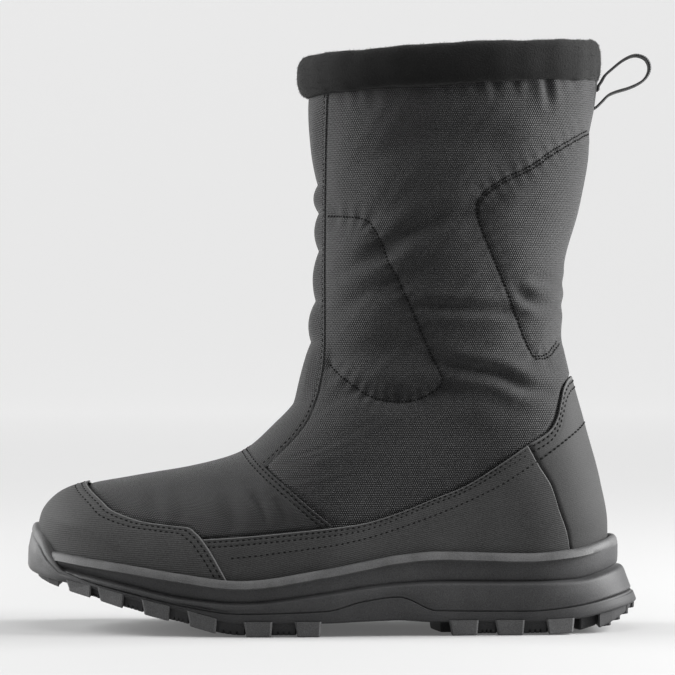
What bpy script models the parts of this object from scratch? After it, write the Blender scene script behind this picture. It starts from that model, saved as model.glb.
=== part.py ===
"""Pull-on snow hiking boot for the left foot, standing empty on its sole.

Metres. +X runs from toe to heel, +Y to the wearer's right (the inner side of this left boot), +Z up.
The origin is on the floor, in the middle of the boot's box.

The upper is one form: its side outline is a front line and a back line, and its half width at any point of
the side view follows from how far that point lies inside the two lines. Every other piece is made from that
form, or cut by it.
"""

import math

import bpy
import numpy as np

# Driving dimensions
WALL = 0.0030             # upper: shell fabric, padding and lining together
FIT = 0.0003              # space between two pieces that touch
OVERLAY = 0.0012          # thickness of the coated panels sewn on the upper
RIM_SPACE = FIT + OVERLAY + FIT
INSOLE_THICK = 0.0040
CUFF_HEIGHT = 0.0196      # fleece roll round the collar
CUFF_INSIDE = 0.0050      # how far the roll stands inside the shaft's outer face
CUFF_OUT_FRONT = 0.0062   # how far it stands out in front, at the sides and behind
CUFF_OUT_SIDE = 0.0045
CUFF_OUT_BACK = 0.0018
CUFF_FLATNESS = 0.85      # 1 is an oval section, less is squarer
LOOP_WIDTH = 0.0110       # webbing of the pull loop
LOOP_THICK = 0.0013
LUG_TAPER = 0.0008        # how far each wall of a lug leans in
LUG_SUNK = 0.0012         # how far a lug reaches up into the slab it grows from
TRAY_RECESS = 0.0004      # the outsole's top face lies this far under its edge
TRAY_EDGE = 0.0030        # width of that edge
SOLE_CHAMFER = 0.0012     # bevel along the bottom of the outsole and the top of the bumper
SOLE_ROUND = 0.0005       # how far the sole's side draws in at its corners
PANEL_GAP = 0.0005        # space between the cut edges of two panels
BEYOND = 0.2              # past the boot on every side, for the forms that cut panels

# Fineness of the faceted forms
HALF_STATIONS = 20        # points from front to back along one side of a ring
FOOT_RINGS = 16           # rings from the sole to the first notch of the quilting
CUFF_SECTION_POINTS = 10
EDGE_POINTS = 18          # points along the cut edge of a panel
LINE_SAMPLES = 300        # points at which the front and the back line are measured

# How round the form is in front and behind: 2 is an ellipse, more is squarer
FRONT_POWER = 2.15
BACK_POWER = 2.2
SHARP_ANGLE = math.radians(40)        # edges steeper than this are shaded sharp
FOOT_TOP, LEG_BOTTOM = 0.085, 0.140   # heights between which foot widths give way to leg widths
CUP_FADE = 0.45                       # share of the rings that still follow the cup under the foot
CUP_FADE_POWER = 1.5                  # how quickly they leave it
SOLE_REACH = 0.40                     # share of the rings that the sole is fitted to


def table(columns, *rows):
    """A table with named columns, a row for each section."""
    return {name: np.array(values) for name, values in zip(columns.split(), zip(*rows))}


# Front line of the upper, from the toe over the vamp and up the shaft.
# share: how far up the rings, x and z: the line, depth: how deep the form is still rounding off
FRONT_LINE = table(
    "share x z depth",
    (0.00, -0.1482, 0.0330, 0.066),
    (0.06, -0.1488, 0.0465, 0.064),
    (0.10, -0.1473, 0.0560, 0.058),
    (0.15, -0.1390, 0.0658, 0.053),
    (0.20, -0.1262, 0.0708, 0.050),
    (0.28, -0.1000, 0.0756, 0.052),
    (0.36, -0.0730, 0.0804, 0.056),
    (0.43, -0.0500, 0.0870, 0.060),
    (0.50, -0.0322, 0.1015, 0.060),
    (0.56, -0.0202, 0.1155, 0.060),
    (0.62, -0.0145, 0.1340, 0.060),
    (0.80, -0.0093, 0.1960, 0.064),
    (0.93, -0.0112, 0.2400, 0.068),
    (1.00, -0.0145, 0.2650, 0.070),
)
# Back line, from the heel up the calf
BACK_LINE = table(
    "share x z depth",
    (0.00, 0.1331, 0.0310, 0.042),
    (0.14, 0.1330, 0.0520, 0.040),
    (0.28, 0.1293, 0.0740, 0.042),
    (0.43, 0.1215, 0.1030, 0.047),
    (0.56, 0.1142, 0.1320, 0.053),
    (0.65, 0.1114, 0.1580, 0.058),
    (0.72, 0.1122, 0.1790, 0.062),
    (0.82, 0.1200, 0.2100, 0.068),
    (0.90, 0.1255, 0.2400, 0.070),
    (1.00, 0.1288, 0.2725, 0.072),
)
# The foot from above: middle line, and half widths to the outer and inner side of it
FOOT_WIDTHS = table(
    "x middle outer inner",
    (-0.150, 0.0070, 0.0440, 0.0440),
    (-0.120, 0.0055, 0.0460, 0.0455),
    (-0.085, 0.0030, 0.0490, 0.0480),
    (-0.050, 0.0008, 0.0518, 0.0492),
    (-0.010, -0.0008, 0.0490, 0.0440),
    (0.030, -0.0005, 0.0430, 0.0382),
    (0.070, 0.0000, 0.0388, 0.0372),
    (0.105, 0.0000, 0.0372, 0.0370),
    (0.135, 0.0000, 0.0366, 0.0366),
)
LEG_WIDTHS = table(
    "z half",
    (0.100, 0.0385),
    (0.130, 0.0398),
    (0.160, 0.0420),
    (0.200, 0.0465),
    (0.240, 0.0495),
    (0.273, 0.0510),
)
# The sole along its length. tread: lug bottoms, lug: lug height, tray: top of the outsole under the midsole,
# step: ridge or groove in the midsole's side, lip: top edge round the upper, cup: floor under the foot,
# low and high: how far the side stands out of the upper below and above the step
SOLE_SECTIONS = table(
    "x tread lug tray step lip cup low high",
    (-0.152, 0.0265, 0.0024, 0.0310, 0.0330, 0.0400, 0.0332, 0.0060, 0.0044),
    (-0.140, 0.0225, 0.0036, 0.0288, 0.0318, 0.0395, 0.0318, 0.0062, 0.0044),
    (-0.122, 0.0180, 0.0050, 0.0256, 0.0285, 0.0371, 0.0288, 0.0064, 0.0044),
    (-0.101, 0.0121, 0.0060, 0.0207, 0.0238, 0.0341, 0.0256, 0.0066, 0.0046),
    (-0.075, 0.0057, 0.0064, 0.0146, 0.0182, 0.0300, 0.0218, 0.0066, 0.0048),
    (-0.048, 0.0000, 0.0064, 0.0109, 0.0160, 0.0271, 0.0190, 0.0066, 0.0058),
    (-0.007, 0.0000, 0.0064, 0.0120, 0.0205, 0.0327, 0.0230, 0.0068, 0.0062),
    (0.010, 0.0012, 0.0058, 0.0164, 0.0232, 0.0359, 0.0262, 0.0068, 0.0062),
    (0.028, 0.0018, 0.0056, 0.0186, 0.0250, 0.0392, 0.0290, 0.0068, 0.0060),
    (0.047, 0.0000, 0.0064, 0.0118, 0.0258, 0.0408, 0.0303, 0.0072, 0.0054),
    (0.092, 0.0000, 0.0064, 0.0114, 0.0255, 0.0397, 0.0300, 0.0074, 0.0052),
    (0.113, 0.0008, 0.0062, 0.0130, 0.0262, 0.0415, 0.0304, 0.0074, 0.0052),
    (0.136, 0.0065, 0.0050, 0.0174, 0.0330, 0.0478, 0.0310, 0.0074, 0.0050),
)
# Upper edge of the outsole's side round the toe, where it climbs to the top of the bumper
BUMPER_EDGE = table(
    "x z",
    (-0.1490, 0.0537),
    (-0.1465, 0.0500),
    (-0.1420, 0.0450),
    (-0.1390, 0.0400),
    (-0.1360, 0.0355),
    (-0.1320, 0.0305),
    (-0.1215, 0.0262),
    (-0.1110, 0.0232),
)
BUMPER_WALL = 0.0073      # how far the bumper stands out of the upper at the tip of the toe
BUMPER_END = -0.128       # where the bumper has run out into the plain edge of the outsole
BUMPER_START = -0.141     # where it has its full wall
# How far the sole's levels stand out of the upper at the very back of the heel, which flares to the floor
HEEL_FLARE = {"tread": 0.0148, "edge": 0.0138, "low": 0.0115, "step": 0.0078, "high": 0.0060, "lip": 0.0042}
LIP_HEIGHT = 0.0037       # raised band round the top of the midsole
LIP_PROUD = 0.0013
STEP_HEIGHT = 0.0012

# Sewn-on panels: the shares of the rings that each is cut from, then their edges in the side view
PANEL_RINGS = {
    "toe_cap": (0.0, 0.34),
    "mudguard_outer": (0.0, 0.50),
    "mudguard_inner": (0.0, 0.50),
    "heel_counter": (0.0, 0.60),
    "front_strip": (0.36, 1.0),
}
TOE_CAP_EDGE = table(
    "x z",
    (-0.1285, 0.0740),
    (-0.1232, 0.0684),
    (-0.1161, 0.0628),
    (-0.1109, 0.0589),
    (-0.1011, 0.0554),
    (-0.0929, 0.0536),
    (-0.0786, 0.0521),
    (-0.0726, 0.0515),
    (-0.0697, 0.0495),
    (-0.0666, 0.0465),
    (-0.0612, 0.0389),
    (-0.0530, 0.0240),
    (-0.0500, 0.0150),
)
MUDGUARD_TOP = table(
    "x z",
    (-0.0655, 0.0464),
    (-0.0481, 0.0476),
    (-0.0328, 0.0491),
    (-0.0127, 0.0513),
    (0.0034, 0.0532),
    (0.0161, 0.0555),
    (0.0312, 0.0603),
    (0.0464, 0.0664),
    (0.0616, 0.0724),
    (0.0768, 0.0817),
    (0.0920, 0.0921),
)
COUNTER_FRONT = table(
    "z x",
    (0.0200, 0.1140),
    (0.0412, 0.1124),
    (0.0506, 0.1108),
    (0.0598, 0.1075),
    (0.0722, 0.1035),
    (0.0825, 0.0973),
    (0.0921, 0.0920),
)
COUNTER_TOP = table(
    "x z",
    (0.0920, 0.0921),
    (0.1025, 0.0986),
    (0.1069, 0.1051),
    (0.1090, 0.1130),
    (0.1112, 0.1210),
    (0.1170, 0.1262),
    (0.1400, 0.1330),
)
STRIP_SEAM = table(
    "z x",
    (0.0809, -0.0364),
    (0.0907, -0.0266),
    (0.0978, -0.0200),
    (0.1050, -0.0148),
    (0.1123, -0.0118),
    (0.1202, -0.0094),
    (0.1389, -0.0069),
    (0.1831, -0.0069),
    (0.2322, -0.0064),
    (0.2640, -0.0054),
)
VAMP_SEAM_TOP = (-0.0470, 0.0915)     # where the vamp's seam crosses the front line
# Quilting over the front strip: heights of the stitched notches, and how far the padding swells between them
QUILT_NOTCHES = (0.1120, 0.1425, 0.1630, 0.1880, 0.2070, 0.2210, 0.2650)
QUILT_SWELL = 0.0018

# Pull loop in the side view: the free part of its route, from its upper to its lower sewn end
LOOP_ROUTE = (
    (0.1311, 0.2728), (0.1330, 0.2760), (0.1365, 0.2792), (0.1415, 0.2832), (0.1460, 0.2855),
    (0.1497, 0.2858), (0.1532, 0.2842), (0.1550, 0.2810), (0.1548, 0.2776), (0.1528, 0.2742),
    (0.1495, 0.2717), (0.1445, 0.2695), (0.1385, 0.2677), (0.1345, 0.2659), (0.1314, 0.2628),
)
LOOP_UPPER_END = (0.2680, 0.2704)     # heights over which each end lies on the back of the shaft
LOOP_LOWER_END = (0.2590, 0.2540, 0.2490)

# Tread: where each block starts and ends along the sole. Side blocks stand along both edges.
SIDE_LUGS = (
    (-0.1340, -0.1210), (-0.1180, -0.1047), (-0.0960, -0.0820), (-0.0737, -0.0591), (-0.0462, -0.0322),
    (-0.0215, -0.0085), (0.0535, 0.0680), (0.0760, 0.0905), (0.1010, 0.1150),
)
SIDE_LUG_DEPTH = 0.0150
BEHIND_SIDE_LUGS = SIDE_LUG_DEPTH + 0.0040
# Middle blocks also say how far from the edge of the sole they start; those at toe and heel reach the edge
MIDDLE_LUGS = (
    (-0.1440, -0.1375, 0.0040),
    (-0.1235, -0.1125, BEHIND_SIDE_LUGS),
    (-0.1000, -0.0890, BEHIND_SIDE_LUGS),
    (-0.0780, -0.0660, BEHIND_SIDE_LUGS),
    (-0.0540, -0.0420, BEHIND_SIDE_LUGS),
    (-0.0290, -0.0180, BEHIND_SIDE_LUGS),
    (0.0500, 0.0600, BEHIND_SIDE_LUGS),
    (0.0710, 0.0820, BEHIND_SIDE_LUGS),
    (0.0950, 0.1050, BEHIND_SIDE_LUGS),
    (0.1230, 0.1345, 0.0),
)
MIDDLE_LUG_SPLIT = 0.0030      # half the groove down the middle of the tread
MIDDLE_LUG_SWEEP = 0.0050      # how far the middle of a block lies ahead of its outer end

COLOURS = {   # base colour, roughness
    "rubber": ((0.030, 0.030, 0.031), 0.55),
    "foam": ((0.034, 0.034, 0.035), 0.60),
    "fabric": ((0.040, 0.040, 0.041), 0.85),
    "coated": ((0.036, 0.036, 0.037), 0.60),
    "fleece": ((0.012, 0.012, 0.012), 1.00),
    "webbing": ((0.030, 0.030, 0.031), 0.80),
    "felt": ((0.050, 0.050, 0.051), 1.00),
}


def smooth(table_at, table_values, at):
    """Cubic curve through a table's rows that never swings past them."""
    known, values = np.asarray(table_at, float), np.asarray(table_values, float)
    step = np.diff(known)
    slope = np.diff(values) / step
    before, after = slope[:-1], slope[1:]
    same_way = before * after > 0
    inner = np.zeros_like(before)
    inner[same_way] = 2 * before[same_way] * after[same_way] / (before[same_way] + after[same_way])
    gradient = np.concatenate([slope[:1], inner, slope[-1:]])
    at = np.clip(np.asarray(at, float), known[0], known[-1])
    row = np.clip(np.searchsorted(known, at, side="right") - 1, 0, len(step) - 1)
    t = (at - known[row]) / step[row]
    rise = values[row + 1] - values[row]
    start, end = gradient[row] * step[row], gradient[row + 1] * step[row]
    return values[row] + t * (start + t * (3 * rise - 2 * start - end + t * (start + end - 2 * rise)))


def soft_step(low, high, at):
    t = np.clip((at - low) / (high - low), 0.0, 1.0)
    return t * t * (3 - 2 * t)


def sole(column, x):
    return smooth(SOLE_SECTIONS["x"], SOLE_SECTIONS[column], x)


# Upper: one form for the whole foot and shaft

def line_at(line, share):
    return np.stack([smooth(line["share"], line[column], share) for column in ("x", "z", "depth")], axis=-1)


def depth_share(line, x, z):
    """How far each side-view point lies inside a line, as a share of the depth over which it rounds off."""
    path = line_at(line, np.linspace(0, 1, LINE_SAMPLES))
    start, along = path[:-1, :2], np.diff(path[:, :2], axis=0)
    points = np.stack([x, z], axis=-1).reshape(-1, 1, 2)
    t = np.clip(((points - start) * along).sum(-1) / (along ** 2).sum(-1), 0, 1)
    distance = np.linalg.norm(points - start - t[..., None] * along, axis=-1)
    depth = path[:-1, 2] + t * np.diff(path[:, 2])
    return (distance / depth).min(axis=1).reshape(np.shape(x))


def rounding(share, power):
    return (1 - (1 - np.clip(share, 0, 1)) ** power) ** (1 / power)


def sides(x, z):
    """y of the outer and the inner side of the form at points of the side view."""
    leg = soft_step(FOOT_TOP, LEG_BOTTOM, z)
    half_leg = smooth(LEG_WIDTHS["z"], LEG_WIDTHS["half"], z)
    round_off = rounding(depth_share(FRONT_LINE, x, z), FRONT_POWER)
    round_off = round_off * rounding(depth_share(BACK_LINE, x, z), BACK_POWER)
    middle, outer, inner = (smooth(FOOT_WIDTHS["x"], FOOT_WIDTHS[side], x)
                            for side in ("middle", "outer", "inner"))
    middle = middle * (1 - leg)
    outer = (outer + (half_leg - outer) * leg) * round_off
    inner = (inner + (half_leg - inner) * leg) * round_off
    return middle - outer, middle + inner


def form_rings(shares, offset=0.0):
    """Rings of the upper's form, bottom to top, moved out by offset. Each ring runs from its front point
    along the outer side to the back and along the inner side to the front again."""
    shares = np.asarray(shares, float)
    t = (1 - np.cos(np.linspace(0, math.pi, HALF_STATIONS + 1))) / 2
    front, back = line_at(FRONT_LINE, shares), line_at(BACK_LINE, shares)
    x = front[:, :1] + t * (back[:, :1] - front[:, :1])
    z = front[:, 1:2] + t * (back[:, 1:2] - front[:, 1:2])
    first_front, first_back = line_at(FRONT_LINE, 0.0), line_at(BACK_LINE, 0.0)
    first_x = first_front[0] + t * (first_back[0] - first_front[0])
    sag = sole("cup", first_x) - (first_front[1] + t * (first_back[1] - first_front[1]))
    sag = sag - (sag[0] + t * (sag[-1] - sag[0]))
    z = z + sag * np.clip(1 - shares / CUP_FADE, 0, 1)[:, None] ** CUP_FADE_POWER
    outer, inner = sides(x, z)
    side_out = np.stack([x, outer, z], axis=-1)
    side_in = np.stack([x, inner, z], axis=-1)[:, -2:0:-1]
    rings = np.concatenate([side_out, side_in], axis=1)
    return rings + offset * form_normals(rings) if offset else rings


def form_normals(rings):
    round_ring = np.roll(rings, -1, axis=1) - np.roll(rings, 1, axis=1)
    up = np.gradient(rings, axis=0)
    normal = np.cross(round_ring, up)
    return normal / np.linalg.norm(normal, axis=-1, keepdims=True)


def ring_shares(start=0.0, end=1.0):
    """Shares of the upper's rings: evenly over the foot, then one at each notch and one half way between."""
    notches = np.asarray(QUILT_NOTCHES)
    heights = np.sort(np.concatenate([notches, (notches[1:] + notches[:-1]) / 2]))
    known = np.linspace(0, 1, LINE_SAMPLES)
    shaft = np.interp(heights, line_at(FRONT_LINE, known)[:, 1], known)
    shares = np.concatenate([np.linspace(0, shaft[0], FOOT_RINGS)[:-1], shaft])
    return shares[(shares >= start) & (shares <= end)]


# Meshes from rings

def ring_faces(rows, points, closed):
    """Triangles between neighbouring rings. All are split the same way, so that one layer over another keeps
    its distance."""
    faces = []
    for row in range(rows if closed else rows - 1):
        for point in range(points):
            here, above = row * points, (row + 1) % rows * points
            beside = (point + 1) % points
            faces.append((here + point, here + beside, above + beside))
            faces.append((here + point, above + beside, above + point))
    return faces


def ladder(first, points, up):
    """Faces that close a ring straight across, from its outer to its inner side."""
    half = points // 2
    rungs = [(first + k, first + points - k) for k in range(1, half)]
    faces = [(first, rungs[0][0], rungs[0][1])]
    faces += [(a[0], b[0], b[1], a[1]) for a, b in zip(rungs, rungs[1:])]
    faces.append((rungs[-1][0], first + half, rungs[-1][1]))
    return faces if up else [face[::-1] for face in faces]


def make(name, vertices, faces, finish=None):
    mesh = bpy.data.meshes.new(name)
    mesh.from_pydata([tuple(map(float, vertex)) for vertex in vertices], [], faces)
    mesh.validate()
    mesh.shade_smooth()
    mesh.set_sharp_from_angle(angle=SHARP_ANGLE)
    if finish is not None:
        mesh.materials.append(finish)
    piece = bpy.data.objects.new(name, mesh)
    bpy.context.scene.collection.objects.link(piece)
    return piece


def filled(name, rings, finish=None):
    """A solid from rings, bottom to top, closed straight across at both ends."""
    rings = np.asarray(rings)
    rows, points = rings.shape[:2]
    faces = ring_faces(rows, points, closed=False)
    faces += ladder(0, points, up=False) + ladder((rows - 1) * points, points, up=True)
    return make(name, rings.reshape(-1, 3), faces, finish)


def shell(name, outside, inside, finish):
    """A hollow wall between an outer and an inner stack of rings, open at both ends."""
    rows, points = outside.shape[:2]
    count, top = rows * points, (rows - 1) * points
    wall = ring_faces(rows, points, closed=False)
    faces = wall + [tuple(vertex + count for vertex in face[::-1]) for face in wall]
    for point in range(points):
        beside = (point + 1) % points
        faces.append((point, point + count, beside + count, beside))
        faces.append((top + point, top + beside, top + beside + count, top + point + count))
    return make(name, np.concatenate([outside, inside]).reshape(-1, 3), faces, finish)


def prism(name, outline, low_y, high_y):
    """A side-view outline, counterclockwise seen from the outer side, stretched across the boot."""
    count = len(outline)
    vertices = [(x, low_y, z) for x, z in outline] + [(x, high_y, z) for x, z in outline]
    faces = [tuple(range(count)), tuple(range(2 * count - 1, count - 1, -1))]
    faces += [(k, k + count, (k + 1) % count + count, (k + 1) % count) for k in range(count)]
    return make(name, vertices, faces)


def boolean(piece, operation, cutter):
    cutter.hide_render = True
    cutter.display_type = "WIRE"
    modifier = piece.modifiers.new(operation.lower(), "BOOLEAN")
    modifier.operation = operation
    modifier.solver = "EXACT"
    modifier.object = cutter


def material(name):
    colour, roughness = COLOURS[name]
    made = bpy.data.materials.new(name)
    made.use_nodes = True
    shader = made.node_tree.nodes["Principled BSDF"]
    shader.inputs["Base Color"].default_value = (*colour, 1.0)
    shader.inputs["Roughness"].default_value = roughness
    shader.inputs["Metallic"].default_value = 0.0
    return made


# Sole

def base_ring():
    """Outline of the upper where it stands in the sole, with the way out of it in the plan."""
    ring = form_rings([0.0])[0]
    return ring, plan_normals(ring)


def plan_normals(ring):
    along = np.roll(ring, -1, axis=0) - np.roll(ring, 1, axis=0)
    out = np.stack([along[:, 1], -along[:, 0], np.zeros(len(ring))], axis=-1)
    return out / np.linalg.norm(out, axis=1, keepdims=True)


def level_ring(height, stand_out, heel_level):
    """Ring of the sole at a height and a distance out of the upper, flared at the back of the heel."""
    ring, out = base_ring()
    flare = np.clip(out[:, 0], 0, 1) ** 2
    distance = stand_out + (HEEL_FLARE[heel_level] - stand_out) * flare
    moved = ring + out * distance[:, None]
    moved[:, 2] = height
    return moved


def bumper_share(x):
    """1 where the outsole stands up as the toe bumper, 0 where its edge is plain."""
    return 1 - soft_step(BUMPER_START, BUMPER_END, x)


def outsole_edge(x):
    """Height of the outsole's upper edge: the bumper round the toe, and level with the tray elsewhere."""
    on_bumper = smooth(BUMPER_EDGE["x"], BUMPER_EDGE["z"], x)
    return np.where(x < BUMPER_EDGE["x"][-1], on_bumper, sole("tray", x))


def outsole_tray(name, finish=None, grow=0.0):
    """The outsole without its lugs: a slab whose edge climbs to a bumper round the toe."""
    x = base_ring()[0][:, 0]
    bumper = bumper_share(x)
    side = sole("low", x)
    bottom = sole("tread", x) + sole("lug", x)
    edge = outsole_edge(x) + grow
    floor = sole("tray", x) - TRAY_RECESS + grow
    outside = side + (BUMPER_WALL - side) * bumper + grow
    inside = (side - TRAY_EDGE) * (1 - bumper) - grow
    rings = [
        level_ring(bottom - grow, outside - SOLE_CHAMFER, "tread"),
        level_ring(bottom + SOLE_CHAMFER, outside, "edge"),
        level_ring((bottom + edge) / 2, outside, "edge"),
        level_ring(edge, outside - SOLE_CHAMFER * bumper, "edge"),
        level_ring(edge, inside, "step"),
        level_ring(floor, inside, "step"),
    ]
    return filled(name, rings, finish)


def tread_blocks():
    """Plan corners of every tread block: at each side of the middle, four corners in turn."""
    x = base_ring()[0][:, 0]
    edge = level_ring(0.0, sole("low", x) - LUG_TAPER, "tread")[:, :2]
    lines = {-1: edge[: HALF_STATIONS + 1], 1: np.concatenate([edge[HALF_STATIONS:], edge[:1]])[::-1]}
    blocks = []
    for side, line in lines.items():
        for start, end in SIDE_LUGS:
            far = np.interp((start, end), line[:, 0], line[:, 1])
            near = far - side * SIDE_LUG_DEPTH
            blocks.append([(start, far[0]), (end, far[1]), (end, near[1]), (start, near[0])])
        for start, end, from_edge in MIDDLE_LUGS:
            far = np.interp((start, end), line[:, 0], line[:, 1]) - side * from_edge
            near, swept = side * MIDDLE_LUG_SPLIT, MIDDLE_LUG_SWEEP
            blocks.append([(start, far[0]), (end, far[1]), (end - swept, near), (start - swept, near)])
    return [counterclockwise(np.array(block)) for block in blocks]


def counterclockwise(corners):
    following = np.roll(corners, -1, axis=0)
    area = (corners[:, 0] * following[:, 1] - following[:, 0] * corners[:, 1]).sum()
    return corners if area > 0 else corners[::-1]


def lug_vertices(corners):
    """One tread block, from the tread up into the slab, its walls leaning in towards the floor."""
    middle = corners.mean(axis=0)
    spread = corners - middle
    lean = middle + spread * (1 - LUG_TAPER / np.linalg.norm(spread, axis=1, keepdims=True))
    bottom = np.column_stack([lean, sole("tread", lean[:, 0])])
    top = np.column_stack([corners, sole("tread", corners[:, 0]) + sole("lug", corners[:, 0]) + LUG_SUNK])
    return np.concatenate([bottom, top])


def lug_mesh(name):
    blocks = [lug_vertices(corners) for corners in tread_blocks()]
    faces = []
    for first in range(0, 8 * len(blocks), 8):
        faces += [(first + 3, first + 2, first + 1, first), (first + 4, first + 5, first + 6, first + 7)]
        faces += [(first + k, first + (k + 1) % 4, first + (k + 1) % 4 + 4, first + k + 4) for k in range(4)]
    return make(name, np.concatenate(blocks), faces)


def foot_form(name, below=0.0):
    """The upper and its panels as one filled form with room round it, which hollows the sole pieces."""
    rings = form_rings(ring_shares(0.0, SOLE_REACH), RIM_SPACE)
    rings[0, :, 2] -= below
    return filled(name, rings)


def make_outsole():
    outsole = outsole_tray("outsole", material("rubber"))
    boolean(outsole, "UNION", lug_mesh("cutter_lugs"))
    boolean(outsole, "DIFFERENCE", foot_form("cutter_bumper_inside"))
    return outsole


def tucked_behind_bumper(rings):
    """Rings of the midsole, drawn in wherever the bumper stands in front of them."""
    ring, out = base_ring()
    edge = outsole_edge(ring[:, 0]) + FIT
    hidden_out = BUMPER_WALL / 2
    for level in rings:
        distance = ((level - ring) * out).sum(axis=1)
        behind = (bumper_share(ring[:, 0]) > 0) & (level[:, 2] < edge) & (distance > hidden_out)
        level[behind, :2] = (ring + out * hidden_out)[behind, :2]
    return rings


def make_midsole():
    x = base_ring()[0][:, 0]
    tray, step, lip = sole("tray", x), sole("step", x), sole("lip", x)
    low, high = sole("low", x), sole("high", x)
    band = high + LIP_PROUD
    rings = [
        level_ring(tray - SOLE_CHAMFER, low - SOLE_ROUND, "low"),
        level_ring((tray + step) / 2, low, "low"),
        level_ring(step - STEP_HEIGHT, low - SOLE_ROUND, "step"),
        level_ring(step, high, "high"),
        level_ring(lip - LIP_HEIGHT - SOLE_ROUND, high, "high"),
        level_ring(lip - LIP_HEIGHT, band, "high"),
        level_ring(lip - SOLE_ROUND, band, "lip"),
        level_ring(lip, high, "lip"),
    ]
    midsole = filled("midsole", tucked_behind_bumper(rings), material("foam"))
    boolean(midsole, "DIFFERENCE", foot_form("cutter_cup", below=FIT))
    boolean(midsole, "DIFFERENCE", outsole_tray("cutter_tray", grow=FIT))
    return midsole


def make_insole():
    ring, out = base_ring()
    bottom = ring - out * (WALL + 2 * FIT)
    top = bottom + np.array([0.0, 0.0, INSOLE_THICK])
    return filled("insole", [bottom, top], material("felt"))


# Upper and what is sewn on it

def make_upper():
    shares = ring_shares()
    return shell("upper", form_rings(shares), form_rings(shares, -WALL), material("fabric"))


def panel(name, outline, finish, sides=(-BEYOND, BEYOND), swell=None):
    """A sewn-on panel: the layer just over the upper, cut to a side-view outline."""
    shares = ring_shares(*PANEL_RINGS[name])
    outside = form_rings(shares, FIT + OVERLAY)
    if swell is not None:
        outside = outside + swell(outside[..., 2])[..., None] * form_normals(outside)
    piece = shell(name, outside, form_rings(shares, FIT), material(finish))
    boolean(piece, "INTERSECT", prism(f"cutter_{name}", outline, *sides))
    return piece


def edge_points(edge, along="x", start=None, end=None):
    """Points of a panel's edge in the side view, evenly spaced along x or z."""
    known = edge[along]
    at = np.linspace(known[0] if start is None else start, known[-1] if end is None else end, EDGE_POINTS)
    return [(float(smooth(known, edge["x"], a)), float(smooth(known, edge["z"], a))) for a in at]


def make_toe_cap():
    edge = edge_points(TOE_CAP_EDGE)
    above = edge[0][1] + OVERLAY
    outline = [(-BEYOND, 0.0), (edge[-1][0], 0.0), *edge[::-1], (edge[0][0], above), (-BEYOND, above)]
    return panel("toe_cap", outline, "coated")


def make_mudguards():
    top = edge_points(MUDGUARD_TOP)
    cap = edge_points(TOE_CAP_EDGE, start=top[0][0] - PANEL_GAP)
    cap = [(x + PANEL_GAP, z) for x, z in cap if z < top[0][1] - PANEL_GAP]
    counter = edge_points(COUNTER_FRONT, along="z", end=top[-1][1] - PANEL_GAP)
    counter = [(x - PANEL_GAP, z) for x, z in counter]
    outline = [(cap[-1][0], 0.0), (counter[0][0], 0.0), *counter, *top[::-1], *cap]
    return [
        panel("mudguard_outer", outline, "coated", sides=(-BEYOND, 0.0)),
        panel("mudguard_inner", outline, "coated", sides=(0.0, BEYOND)),
    ]


def make_heel_counter():
    front = edge_points(COUNTER_FRONT, along="z")
    top = edge_points(COUNTER_TOP)
    outline = [(front[0][0], 0.0), (BEYOND, 0.0), (BEYOND, top[-1][1]), *top[::-1], *front[-2::-1]]
    return panel("heel_counter", outline, "coated")


def quilt_swell(z):
    """How far the padding of the front strip stands out: nothing at a notch, most half way between two."""
    notches = np.asarray(QUILT_NOTCHES)
    row = np.clip(np.searchsorted(notches, z) - 1, 0, len(notches) - 2)
    share = np.clip((z - notches[row]) / (notches[row + 1] - notches[row]), 0, 1)
    return QUILT_SWELL * np.sin(math.pi * share)


def make_front_strip():
    seam = edge_points(STRIP_SEAM, along="z")
    corner_x, corner_z = VAMP_SEAM_TOP
    outline = [*seam, (-BEYOND, seam[-1][1]), (-BEYOND, corner_z + OVERLAY), (corner_x, corner_z)]
    return panel("front_strip", outline, "fabric", swell=quilt_swell)


def make_cuff():
    """Fleece roll on the collar: an upright oval carried round the top edge of the shaft."""
    top = form_rings([1.0])[0]
    out = plan_normals(top)
    end_reach = np.where(out[:, 0] < 0, CUFF_OUT_FRONT, CUFF_OUT_BACK)
    reach = CUFF_OUT_SIDE + (end_reach - CUFF_OUT_SIDE) * out[:, 0] ** 2
    middle = (reach - CUFF_INSIDE) / 2
    half = (reach + CUFF_INSIDE) / 2
    rings = []
    for angle in np.linspace(0, 2 * math.pi, CUFF_SECTION_POINTS, endpoint=False):
        across, up = math.sin(angle), -math.cos(angle)
        across = math.copysign(abs(across) ** CUFF_FLATNESS, across)
        up = math.copysign(abs(up) ** CUFF_FLATNESS, up)
        ring = top + out * (middle + half * across)[:, None]
        ring[:, 2] += FIT + CUFF_HEIGHT / 2 * (1 + up)
        rings.append(ring)
    faces = ring_faces(len(rings), len(top), closed=True)
    return make("collar_cuff", np.concatenate(rings), faces, material("fleece"))


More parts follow.
